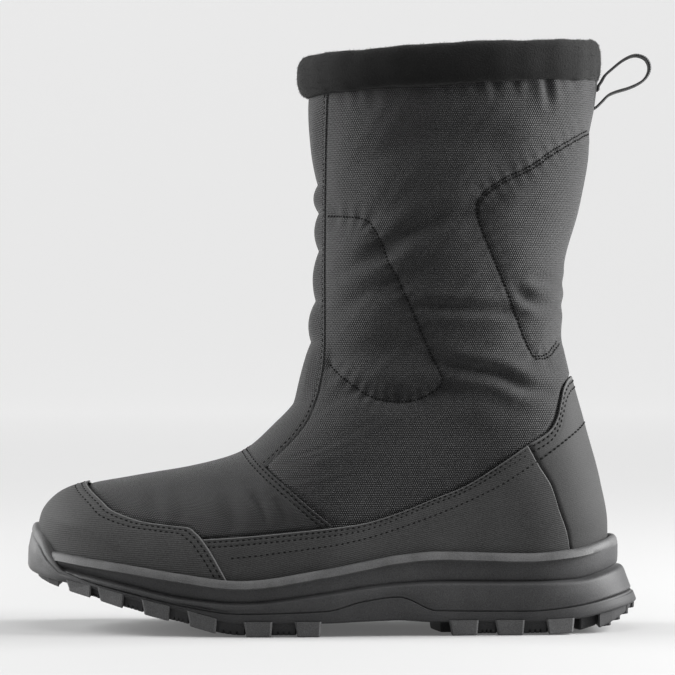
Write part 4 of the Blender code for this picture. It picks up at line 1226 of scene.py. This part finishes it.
def lug_outlines(corners, sipes):
    """Plan of a lug with and without the sipes along its first side."""
    plain = cut_corners(corners)
    start, end = plain[1], plain[2]
    along = (end - start) / np.linalg.norm(end - start)
    inward = corners.mean(axis=0) - (start + end) / 2
    inward = inward / np.linalg.norm(inward) * SIPE_DEEP
    flat, notched = [], []
    for share in sipes:
        middle = start + (end - start) * share
        mouth = [middle - along * SIPE_HALF, middle + along * SIPE_HALF]
        flat += [mouth[0], mouth[0], mouth[1], mouth[1]]
        notched += [mouth[0], mouth[0] + inward, mouth[1] + inward, mouth[1]]
    if not sipes:
        return plain, plain
    return tuple(np.concatenate([plain[:2], side, plain[2:]]) for side in (flat, notched))


def counterclockwise(outline):
    following = np.roll(outline, -1, axis=0)
    return (outline[:, 0] * following[:, 1] - following[:, 0] * outline[:, 1]).sum() > 0


# %% Lugs
LUG_SUNK = 0.0010
LUG_ROUND = 0.0005
SIPE_TAPER = 0.8          # share of a lug's taper that is left above its sipes
SIPE_END = 0.0001
ARCH_GAP = 0.02           # no small block fills a gap wider than this, the one under the arch
# Tips of the teeth behind the heel: x and z
TEETH = ((0.1285, 0.0010), (0.1338, 0.0034), (0.1387, 0.0059), (0.1432, 0.0084), (0.1470, 0.0108))
TOOTH_HIGH = 0.0018       # the teeth stand out of a wedge behind the heel
TOOTH_REACH = 0.92        # share of the heel's width
WEDGE_START, WEDGE_INSET, WEDGE_STEP = 0.1265, 0.0014, 8

lug_points, lug_faces = [], []


def add_lug(corners, tread, top, sipes=(), lean=0.0):
    """A block of rubber from the tread up into the slab, its walls leaning in towards the floor."""
    start, end = corners[:, 0].min(), corners[:, 0].max()
    plain, notched = lug_outlines(corners, sipes)
    if not counterclockwise(corners):
        plain, notched = plain[::-1], notched[::-1]
    middle = corners.mean(axis=0)

    def drawn_in(outline, inset):
        away = outline - middle
        moved = middle + away * (1 - inset / np.linalg.norm(away, axis=1, keepdims=True))
        moved[:, 0] += lean * (end - outline[:, 0]) / (end - start)
        return moved

    rows = [
        (drawn_in(notched, LUG_TAPER + LUG_ROUND), 0.0),
        (drawn_in(notched, LUG_TAPER), LUG_ROUND),
        (drawn_in(notched, LUG_TAPER * SIPE_TAPER), SIPE_HIGH),
        (drawn_in(plain, LUG_TAPER * SIPE_TAPER), SIPE_HIGH + SIPE_END),
        (plain, None),
    ]
    first, count = len(lug_points), len(plain)
    for outline, height in rows:
        heights = top(outline[:, 0]) if height is None else tread(outline[:, 0]) + height
        lug_points.extend(np.column_stack([outline, heights]).tolist())
    for row in range(len(rows) - 1):
        here, above = first + row * count, first + (row + 1) * count
        lug_faces.extend((here + k, here + (k + 1) % count, above + (k + 1) % count, above + k)
                         for k in range(count))
    lug_faces.append(tuple(range(first + count - 1, first - 1, -1)))
    lug_faces.append(tuple(range(first + (len(rows) - 1) * count, first + len(rows) * count)))


def tread_at(x):
    return sole("tread", x)


def gap_tread(x):
    return tread_at(x) + GAP_BLOCK_SHORT


def lug_top(x):
    return tread_at(x) + sole("lug", x) + LUG_SUNK


def plan(start, end, far, near):
    """Four corners of a lug, its outer side first."""
    return np.array([(start, far[0]), (end, far[1]), (end, near[1]), (start, near[0])])


def join_lugs(name, finish):
    """The lugs that were added since the last call, as one piece."""
    mesh = bpy.data.meshes.new(name)
    mesh.from_pydata(lug_points, [], lug_faces)
    piece = bpy.data.objects.new(name, mesh)
    bpy.context.scene.collection.objects.link(piece)
    wear(piece, finish, "outsole_rubber")
    lug_points.clear()
    lug_faces.clear()


for side, line in edge_lines.items():
    for start, end in SIDE_LUGS:
        far = np.interp((start, end), line[:, 0], line[:, 1])
        block = plan(start, end, far, far - side * SIDE_LUG_DEPTH)
        add_lug(block, tread_at, lug_top, lean=FRONT_LEAN)
join_lugs("side_lugs", lug_rubber)

for side, line in edge_lines.items():
    for (_, start), (end, _) in zip(SIDE_LUGS[:-1], SIDE_LUGS[1:]):
        if end - start > ARCH_GAP:
            continue
        start, end = start - GAP_BLOCK_REACH, end + GAP_BLOCK_REACH
        far = np.interp((start, end), line[:, 0], line[:, 1]) - side * GAP_BLOCK_INSET
        block = plan(start, end, far, far - side * GAP_BLOCK_DEPTH)
        add_lug(block, gap_tread, lug_top, SIPES)
    for start, end, from_edge in MIDDLE_LUGS:
        far = np.interp((start, end), line[:, 0], line[:, 1]) - side * (from_edge + LUG_PROUD)
        block = plan(start, end, far, (side * MIDDLE_LUG_SPLIT, side * MIDDLE_LUG_SPLIT))
        block[2:, 0] -= MIDDLE_LUG_SWEEP
        add_lug(block, tread_at, lug_top)


def heel_top(x):
    return lug_top(x) + HEEL_RISE


def wedge_bottom(x):
    return np.interp(x, *zip(*TEETH)) + TOOTH_HIGH


toe_edge = level(0.0, low - TOE_BLOCK_INSET)[::WEDGE_STEP, :2]
add_lug(toe_edge[toe_edge[:, 0] < TOE_BLOCK_END], tread_at, lug_top)
wedge_edge = level(0.0, low + LUG_PROUD - WEDGE_INSET, HEEL_EDGE - WEDGE_INSET)[:, :2]
wedge = np.concatenate([wedge_edge[half::WEDGE_STEP], wedge_edge[WEDGE_STEP:half:WEDGE_STEP]])
add_lug(wedge[wedge[:, 0] > WEDGE_START], wedge_bottom, heel_top)
for (start, _), (end, tip) in zip(TEETH[:-1], TEETH[1:]):
    reach = [np.interp(end, line[:, 0], line[:, 1]) * TOOTH_REACH for line in edge_lines.values()]
    block = plan(start, end, (reach[0], reach[0]), (reach[1], reach[1]))
    slope = ((start, end), (wedge_bottom(start), tip))
    add_lug(block, lambda x, slope=slope: np.interp(x, *slope), heel_top)
join_lugs("inner_lugs", rubber)

# %% [markdown]
# ## Sewn panels
# The vamp, toe cap, mudguards and heel counter are flat cloth cut to an edge and sewn on. Cutting
# them from the form with a boolean would leave ragged triangles along the edge, which catch the
# light. So each panel is a grid that runs from a hidden line under the sole's lip to its cut edge:
# the edge is one row of vertices, it is rolled over with a small radius, and the cloth comes back
# underneath.

# %% Panel maker
EDGE_ROLL = 0.0005        # radius of a cut edge
EDGE_PALE_REACH = 0.0002        # how far the pale paint and painted highlight of a cut edge reach past its roll
ROLL_STEPS = 4
ROW_BUNCHING = 1.6        # rows lie closer together towards the edge
UNDER_STEP = 6            # the hidden underside needs only every sixth row
DRAW_WIDTH = 0.0007       # how wide a row of stitches draws a panel down
VAMP_DRAW, PANEL_DRAW = 0.00025, 0.0002   # and how deep
VAMP_ROWS, PANEL_ROWS = 90, 60
PANEL_COLUMNS, GUARD_COLUMNS = 300, 330


def inset_line(edge, base, inset):
    """A line on a panel at a distance from its edge."""
    span = np.linalg.norm(boot_form(*edge.T) - boot_form(*base.T), axis=-1)
    return edge + (base - edge) * np.clip(inset / np.maximum(span, MERGE), 0, 1)[:, None]


def sewn_panel(name, edge, base, lift, thick, rows, relief):
    """A closed panel between its hidden base line and its cut edge, both as shares and turns."""
    span = np.linalg.norm(boot_form(*edge.T) - boot_form(*base.T), axis=-1)
    curl = np.clip(EDGE_ROLL / np.maximum(span, MERGE), 0, 0.5)
    flat = 1 - (1 - np.linspace(0, 1, rows)) ** ROW_BUNCHING
    reach = [(1 - curl) * v for v in flat]
    height = [np.full(len(edge), lift) for _ in flat]
    for angle in np.linspace(0, math.pi / 2, ROLL_STEPS + 1)[1:]:
        reach.append(1 - curl * (1 - math.sin(angle)))
        height.append(np.full(len(edge), lift - EDGE_ROLL * (1 - math.cos(angle))))
    reach, height = np.array(reach), np.array(height)
    place = base + reach[..., None] * (edge - base)
    share, turn = place[..., 0], place[..., 1]
    height = height + relief(share, turn, (1 - reach) * span)
    under = np.full(height.shape, lift - thick)
    height[:, (0, -1)] = lift - thick
    form, normal = boot_form(share, turn), form_normal(share, turn)
    outer = form + height[..., None] * normal
    rows_under = np.append(np.arange(len(reach) - 1, 0, -UNDER_STEP), 0)
    inner = (form + under[..., None] * normal)[rows_under]
    uv = cloth_uv(share, turn)
    # How far each row lies within the pale cut edge, which is partly a painted highlight.
    wear_and_highlight = np.clip(1 - ((1 - reach) * span - EDGE_ROLL) / EDGE_PALE_REACH, 0, 1)
    rows_in_order = np.concatenate([np.arange(len(reach)), rows_under, [0]])
    return lay_grid(name, closed_wall(outer, inner), uv[rows_in_order], wear_and_highlight[rows_in_order])


def bottom_line(edge):
    """The lowest ring under a panel, from the turn where its edge starts to the turn where it ends."""
    return np.stack([np.zeros(len(edge)), np.linspace(edge[0, 1], edge[-1, 1], len(edge))], axis=-1)


def stitched(distances, depth):
    """Relief of a panel along its edge: the rows of stitches draw it down."""
    def relief(share, turn, from_edge):
        return -depth * sum(bell(from_edge - distance, DRAW_WIDTH) for distance in distances)
    return relief


# %% Vamp
VAMP_LIFT, VAMP_THICK = 0.0007, 0.0007
VAMP_STITCHES = (0.0017, 0.0042)
VAMP_FOLDS = (   # gathers that stand up from the mudguard and the toe cap
    (0.8, 4.0, [(-86, 53), (-90, 62), (-94, 70)]),
    (0.6, 3.4, [(-75, 52), (-78, 60), (-80, 68)]),
    (0.9, 4.0, [(-50, 49), (-53, 58), (-57, 70)]),
    (0.8, 2.8, [(-34, 51), (-37, 60), (-43, 72)]),
    (0.7, 2.8, [(-26, 52), (-28, 60), (-32, 68)]),
)


def vamp_relief(share, turn, from_edge):
    """The vamp's gathers, its stitches, and a sunk line along the toe cap and the mudguards."""
    points = from_side(share, turn).reshape(-1, 2)
    folds = sunk_folds(points, VAMP_FOLDS).reshape(share.shape)
    lines = [np.array(line) * MM for line in (TOE_CAP_EDGE, MUDGUARD_TOP)]
    gap = np.minimum(*(beside(points, line)[0] for line in lines)).reshape(share.shape)
    drawn = stitched(VAMP_STITCHES, VAMP_DRAW)(share, turn, from_edge)
    return folds * soft_step(0.0, FOLD_CLEAR, from_edge) + drawn - EDGE_SINK * bell(gap, EDGE_SINK_WIDTH)


vamp_line = spread(across_middle(vamp_edge, 0.0), PANEL_COLUMNS)
vamp_hidden = spread(across_middle(vamp_base, 0.0), PANEL_COLUMNS)
vamp_panel = sewn_panel("vamp_cloth", vamp_line, vamp_hidden, VAMP_LIFT, VAMP_THICK, VAMP_ROWS,
                        vamp_relief)
wear(vamp_panel, nylon, "shaft_fabric")

# %% Toe cap
CAP_LIFT, PANEL_THICK = 0.0023, 0.0008
CAP_STITCHES = (0.0019, 0.0044)
cap_line = spread(across_middle(cap_edge, 0.0), PANEL_COLUMNS)
cap_hidden = bottom_line(cap_line)
cap = sewn_panel("toe_cap_panel", cap_line, cap_hidden, CAP_LIFT, PANEL_THICK, PANEL_ROWS,
                 stitched(CAP_STITCHES, PANEL_DRAW))
wear(cap, cap_cloth, "coated_fabric", "toe_cap")

# %% Mudguards
GUARD_LIFT = 0.0016
GUARD_STITCHES = (0.0017, 0.0042)
GUARD_SEWN_END = (0.085, 0.075)           # x between which the stitches along the top edge end
guard_top = spread(mudguard_edge, 220)
guard_line = spread(np.concatenate([mudguard_edge, counter_front[1:]]), GUARD_COLUMNS)
guard_hidden = bottom_line(guard_line)
guard_draw = stitched(GUARD_STITCHES, PANEL_DRAW)


def guard_relief(share, turn, from_edge):
    """Stitches draw the mudguard down along its top edge, but not along the seam over the counter."""
    x = from_side(share, turn)[..., 0]
    return guard_draw(share, turn, from_edge) * soft_step(*GUARD_SEWN_END, x)


for name, line, hidden, node in (
    ("mudguard_outer_panel", guard_line, guard_hidden, "mudguard_outer"),
    ("mudguard_inner_panel", mirrored(guard_line)[::-1], mirrored(guard_hidden)[::-1], "mudguard_inner"),
):
    guard = sewn_panel(name, line, hidden, GUARD_LIFT, PANEL_THICK, PANEL_ROWS, guard_relief)
    wear(guard, guard_cloth, "coated_fabric", node)

# %% Heel counter
COUNTER_LIFT = 0.0010
COUNTER_SEWN_FROM = (0.088, 0.094)        # heights between which the stitches along its top begin
COUNTER_UNDER = [(92.0, 92.1), (87.5, 87.0), (92.0, 77.0), (98.0, 67.0), (102.0, 57.0), (105.5, 48.0),
                 (107.0, 40.0), (109.0, 20.0)]
counter_half = np.concatenate([counter_top, seam_on_form(COUNTER_UNDER)[1:]])
counter_line = spread(across_middle(counter_half, math.pi), PANEL_COLUMNS)
counter_hidden = bottom_line(counter_line)


def counter_relief(share, turn, from_edge):
    """The counter is drawn down along the mudguard's edge, and along its own stitches at the top."""
    points = from_side(share, turn)
    gap = beside(points.reshape(-1, 2), np.array(COUNTER_FRONT) * MM)[0].reshape(share.shape)
    top = guard_draw(share, turn, from_edge) * soft_step(*COUNTER_SEWN_FROM, points[..., 1])
    return top - EDGE_SINK * bell(gap, EDGE_SINK_WIDTH)


counter = sewn_panel("heel_counter_panel", counter_line, counter_hidden, COUNTER_LIFT, PANEL_THICK,
                     PANEL_ROWS, counter_relief)
wear(counter, counter_cloth, "coated_fabric", "heel_counter")

# %% [markdown]
# ## Front strip
# A padded strip runs up the front of the shaft, from the vamp's seam to the collar, and cross seams
# notch it into soft scallops that show in the outline. Its grid runs across the strip from seam to
# seam.

# %% Front strip
QUILT_NOTCHES = np.array([0.1120, 0.1425, 0.1630, 0.1880, 0.2070, 0.2210, 0.2650])
QUILT_SWELL, SWELL_POWER = 0.0026, 0.8   # height of a scallop, and how full it is
STRIP_ROLL = 0.0006       # radius of the strip's folded edge
STRIP_LIFT, STRIP_UNDER = 0.0005, -0.0002
STRIP_DRAW = 0.0003
SWELL_CLEAR = 0.012       # distance from the seam over which the padding rises
STRIP_COLUMNS, STRIP_ROWS = 70, 260
STRIP_STITCH = 0.0020     # distance of its stitches from the seam
LOW_END_REACH = 1.02      # its lower end is read a little past the seam


def strip_swell(z):
    """How far the padding stands out: nothing at a notch, most half way between two."""
    row = np.clip(np.searchsorted(QUILT_NOTCHES, z) - 1, 0, len(QUILT_NOTCHES) - 2)
    share = np.clip((z - QUILT_NOTCHES[row]) / (QUILT_NOTCHES[row + 1] - QUILT_NOTCHES[row]), 0, 1)
    return QUILT_SWELL * np.sin(math.pi * share) ** SWELL_POWER


def strip_half_turn(share):
    return np.interp(share, strip_edge[:, 0], strip_edge[:, 1])


strip_low = vamp_edge[vamp_edge[:, 1] <= strip_edge[0, 1] * LOW_END_REACH]
across = np.linspace(-1, 1, STRIP_COLUMNS)
low_share = np.interp(np.abs(across) * strip_edge[0, 1], strip_low[:, 1], strip_low[:, 0])
upward = np.linspace(0, 1, STRIP_ROWS)[:, None]
share = low_share + upward * (1 - low_share)
turn = across * strip_half_turn(share)
centre = boot_form(share, np.zeros_like(turn))
half_width = np.linalg.norm(boot_form(share, strip_half_turn(share)) - centre, axis=-1)
from_edge = (1 - np.abs(across)) * half_width
roll = np.sqrt(np.clip(1 - (1 - np.clip(from_edge / STRIP_ROLL, 0, 1)) ** 2, 0, 1))
lift = STRIP_LIFT * roll + strip_swell(centre[..., 2]) * soft_step(0.0, SWELL_CLEAR, from_edge)
lift = lift - STRIP_DRAW * bell(from_edge - STRIP_STITCH, DRAW_WIDTH)
lift[:, (0, -1)] = STRIP_UNDER
lift[(0, -1), :] = STRIP_UNDER
outer = on_form(share, turn, lift)
inner = on_form(share, turn, STRIP_UNDER)[::-1]
strip_uv = cloth_uv(share, turn)
strip_points = np.concatenate([outer, inner[1:]])
strip = lay_grid("front_strip_cloth", strip_points, np.concatenate([strip_uv, strip_uv[::-1][1:]]))
wear(strip, nylon, "shaft_fabric", "front_strip")

# %% [markdown]
# ## Stitches
# Each seam shows rows of black thread. A stitch is a short thread that dives into the cloth at both
# ends: one small capsule, copied along every seam at an even pitch and joined into one mesh.

# %% Rows of stitches
PANEL_PITCH, QUILT_PITCH = 0.0028, 0.0020
STITCH_SHARE = 0.68       # of the pitch is thread on top, the rest lies under the cloth
STITCH_HALF_WIDE, STITCH_HIGH = 0.00042, 0.00030
STITCH_SUNK = 0.0002      # a stitch lies this far in its cloth
STITCH_SIDES = 6
STITCH_RINGS = (   # place along the stitch, radius, height
    (-0.5, 0.25, -0.9), (-0.32, 0.85, -0.1), (0.0, 1.0, 0.15), (0.32, 0.85, -0.1), (0.5, 0.25, -0.9),
)

stitch_places, stitch_axes = [], []


def add_stitches(line, lift, pitch=PANEL_PITCH):
    """Stitches along a line of shares and turns, on a surface that stands out of the form by a lift."""
    path = boot_form(*line.T)
    length = np.linalg.norm(np.diff(path, axis=0), axis=1).sum()
    count = max(int(length / pitch), 1)
    lift = np.broadcast_to(lift, len(line))
    fine = evenly(np.column_stack([line, lift]), path, 2 * count + 1)
    share, turn, lift = fine[1::2].T
    normal = form_normal(share, turn)
    along = boot_form(*fine[2::2, :2].T) - boot_form(*fine[:-2:2, :2].T)
    along /= np.linalg.norm(along, axis=1, keepdims=True)
    beside_it = np.cross(normal, along)
    stitch_places.append(boot_form(share, turn) + normal * lift[:, None])
    long = along * STITCH_SHARE * pitch
    stitch_axes.append(np.stack([long, beside_it * STITCH_HALF_WIDE, normal * STITCH_HIGH], axis=1))


def on_both_sides(line, lift, pitch=PANEL_PITCH):
    add_stitches(line, lift, pitch)
    add_stitches(mirrored(line), lift, pitch)


ROW_THREE = [(-53, 37.5), (-38.5, 39), (-24, 41), (-9.5, 43), (3, 45), (21, 49.5), (51, 60), (76.5, 71.5),
             (92.5, 81.5), (101, 87), (117, 99), (122, 104)]
for inset in VAMP_STITCHES:
    add_stitches(inset_line(vamp_line, vamp_hidden, inset), VAMP_LIFT - STITCH_SUNK)
for inset in CAP_STITCHES:
    add_stitches(inset_line(cap_line, cap_hidden, inset), CAP_LIFT - STITCH_SUNK)
counter_rim = spread(across_middle(counter_top, math.pi), 200)
for inset in GUARD_STITCHES:
    on_both_sides(inset_line(guard_top, guard_top * (0, 1), inset), GUARD_LIFT - STITCH_SUNK)
    add_stitches(inset_line(counter_rim, counter_rim * (0, 1), inset), COUNTER_LIFT)
on_both_sides(seam_on_form(ROW_THREE), GUARD_LIFT - STITCH_SUNK / 2)
print("stitches on the panels:", sum(map(len, stitch_places)))

# %% Stitches of the quilting and the strip
SECOND_ROW = (1.0, -1.3)  # the back seam is sewn twice: how far off the second row lies, in millimetres
THREAD_OUT = 0.00018
STRIP_RADIUS = 0.045      # turns into lengths round the front of the leg

for seam in (QUILT_FRONT, QUILT_BACK, np.array(QUILT_BACK) + SECOND_ROW):
    line = spread(seam_on_form(seam), 400)
    on_both_sides(line, shaft_relief(*line.T) + THREAD_OUT, QUILT_PITCH)
strip_inside = np.stack([strip_edge[:, 0], strip_edge[:, 1] - STRIP_STITCH / STRIP_RADIUS], axis=-1)
on_both_sides(strip_inside, STRIP_LIFT - STITCH_SUNK)

capsule = [(x, radius * math.cos(a), sink + radius * math.sin(a)) for x, radius, sink in STITCH_RINGS
           for a in np.linspace(0, 2 * math.pi, STITCH_SIDES, endpoint=False)]
last_ring = STITCH_SIDES * (len(STITCH_RINGS) - 1)
capsule_faces = [tuple(range(STITCH_SIDES - 1, -1, -1))]
for here in range(0, last_ring, STITCH_SIDES):
    above = here + STITCH_SIDES
    capsule_faces += [(here + k, here + (k + 1) % STITCH_SIDES, above + (k + 1) % STITCH_SIDES, above + k)
                      for k in range(STITCH_SIDES)]
capsule_faces.append(tuple(range(last_ring, last_ring + STITCH_SIDES)))
stitches = join_copies("seam_stitches", np.array(capsule), capsule_faces, np.concatenate(stitch_places),
                       np.concatenate(stitch_axes))
wear(stitches, thread, "coated_fabric")

# %% [markdown]
# ## Collar
# A roll of black fleece closes the collar. It is a fat oval carried round the top of the shaft,
# uneven as a stuffed roll is, with short hairs that blur its outline. The hairs are thin spikes
# copied all over it.

# %% Fleece roll
CUFF_HEIGHT, CUFF_INSIDE, CUFF_FLATNESS = 0.0196, 0.0050, 0.85
CUFF_OUT_FRONT, CUFF_OUT_SIDE, CUFF_OUT_BACK = 0.0062, 0.0045, 0.0018
CUFF_OVERLAP = 0.0003     # how far the roll comes down over the top of the shaft
CUFF_SECTION = 56
CUFF_COLUMNS = 420
LUMPS = (0.00025, 0.0002, 0.0001)         # heights of the roll's broad, middling and small lumps
LEG_RADIUS, ROLL_RADIUS = 0.05, 0.005     # turn angles into lengths along the roll and round it

cuff_turns = np.linspace(-math.pi, math.pi, CUFF_COLUMNS + 1)
collar = boot_form(1.0, cuff_turns)
collar_out = plan_out(collar)
end_reach = np.where(collar_out[:, 0] < 0, CUFF_OUT_FRONT, CUFF_OUT_BACK)
reach = CUFF_OUT_SIDE + (end_reach - CUFF_OUT_SIDE) * collar_out[:, 0] ** 2
angles = np.linspace(0, 2 * math.pi, CUFF_SECTION + 1)[:, None]
sideways = np.sign(np.sin(angles)) * np.abs(np.sin(angles)) ** CUFF_FLATNESS
upright = -np.sign(np.cos(angles)) * np.abs(np.cos(angles)) ** CUFF_FLATNESS
lumps = LUMPS[0] * np.sin(5 * cuff_turns + np.sin(angles))
lumps = lumps + LUMPS[1] * np.sin(11 * cuff_turns - np.cos(angles))
lumps = lumps + LUMPS[2] * np.sin(27 * cuff_turns + 2 * np.sin(angles))
out = (reach - CUFF_INSIDE) / 2 + ((reach + CUFF_INSIDE) / 2 + lumps) * sideways
rise = (CUFF_HEIGHT + CUFF_OVERLAP) / 2 * (1 + upright) - CUFF_OVERLAP + lumps * upright
cuff_points = collar + out[..., None] * collar_out
cuff_points[..., 2] += rise
cuff_uv = np.stack(np.broadcast_arrays(cuff_turns * LEG_RADIUS, angles * ROLL_RADIUS), axis=-1)
cuff = wear(lay_grid("fleece_roll", cuff_points, cuff_uv), fleece, "collar_fleece", "collar_cuff")

# %% Hairs of the fleece
HAIRS = 18000
HAIR_LENGTH, HAIR_HALF_WIDE = 0.0008, 0.00008
HAIR_TANGLE = 0.6         # how far hairs lean to all sides
chance = np.random.default_rng(7)

rows = chance.integers(0, CUFF_SECTION, HAIRS)
columns = chance.integers(0, CUFF_COLUMNS, HAIRS)
a, b = chance.random((2, HAIRS, 1))
corner = cuff_points[rows, columns]
up_edge = cuff_points[rows + 1, columns] - corner
side_edge = cuff_points[rows, columns + 1] - corner
hair_normal = np.cross(side_edge, up_edge)
hair_normal /= np.linalg.norm(hair_normal, axis=1, keepdims=True)
lean = hair_normal + HAIR_TANGLE * chance.normal(size=(HAIRS, 3))
lean /= np.linalg.norm(lean, axis=1, keepdims=True)
first_side = np.cross(lean, side_edge)
first_side /= np.linalg.norm(first_side, axis=1, keepdims=True)
second_side = np.cross(lean, first_side)
hair = np.array([(0, 1, -0.2), (-0.87, -0.5, -0.2), (0.87, -0.5, -0.2), (0, 0, 1)])
hair_axes = np.stack([first_side * HAIR_HALF_WIDE, second_side * HAIR_HALF_WIDE,
                      lean * HAIR_LENGTH * (0.5 + chance.random((HAIRS, 1)))], axis=1)
hairs = join_copies("fleece_hairs", hair, [(2, 1, 0), (0, 1, 3), (1, 2, 3), (2, 0, 3)],
                    corner + a * up_edge + b * side_edge, hair_axes)
wear(hairs, fleece, "collar_fleece")

# %% [markdown]
# ## Pull loop
# A loop of narrow webbing stands out behind the collar. Both ends lie against the back of the shaft
# under the roll. It is a flat section with rounded edges carried along the loop's route.

# %% Pull loop
LOOP_ROUTE = [(0.1311, 0.2728), (0.1330, 0.2760), (0.1365, 0.2792), (0.1415, 0.2832), (0.1460, 0.2855),
              (0.1497, 0.2858), (0.1532, 0.2842), (0.1550, 0.2810), (0.1548, 0.2776), (0.1528, 0.2742),
              (0.1495, 0.2717), (0.1445, 0.2695), (0.1385, 0.2677), (0.1345, 0.2659), (0.1314, 0.2628)]
LOOP_UPPER_END = (0.2680, 0.2704)
LOOP_SEWN_IN = [(0.1285, 0.2600), (0.1262, 0.2590)]   # the lower end goes into the back seam
LOOP_WIDTH, LOOP_THICK = 0.0110, 0.0013
LOOP_FIT = 0.0003         # between the loop's upper end and the shaft
LOOP_POINTS = 150
LOOP_SIDE = [(-0.5, 0.0), (-0.47, -0.4), (-0.40, -0.5), (-0.2, -0.5), (0.0, -0.5), (0.2, -0.5),
             (0.40, -0.5), (0.47, -0.4)]
LOOP_SECTION = LOOP_SIDE + [(-x, -y) for x, y in LOOP_SIDE] + LOOP_SIDE[:1]

seat = LOOP_FIT + LOOP_THICK / 2
upper_end = [(float(smooth(BACK_LINE["z"], BACK_LINE["x"], z)) + seat, z) for z in LOOP_UPPER_END]
route = curve_through([*upper_end, *LOOP_ROUTE, *LOOP_SEWN_IN], LOOP_POINTS)
along = np.gradient(route, axis=0)
along /= np.linalg.norm(along, axis=1, keepdims=True)
thick = np.full(LOOP_POINTS, LOOP_THICK)
thick[[0, -1]] = 0.0
loop_points = np.array([
    np.stack([route[:, 0] - along[:, 1] * thick * y, np.full(LOOP_POINTS, x * LOOP_WIDTH),
              route[:, 1] + along[:, 0] * thick * y], axis=-1)
    for x, y in LOOP_SECTION])
loop_length = np.linalg.norm(np.diff(route, axis=0), axis=1).sum()
loop_across = np.array([x for x, y in LOOP_SECTION])[:, None] * LOOP_WIDTH
loop_along = np.linspace(0, loop_length, LOOP_POINTS)
loop_uv = np.stack(np.broadcast_arrays(loop_along, loop_across), axis=-1)
loop = lay_grid("webbing_loop", loop_points, loop_uv)
wear(loop, webbing, "loop_webbing", "pull_loop")
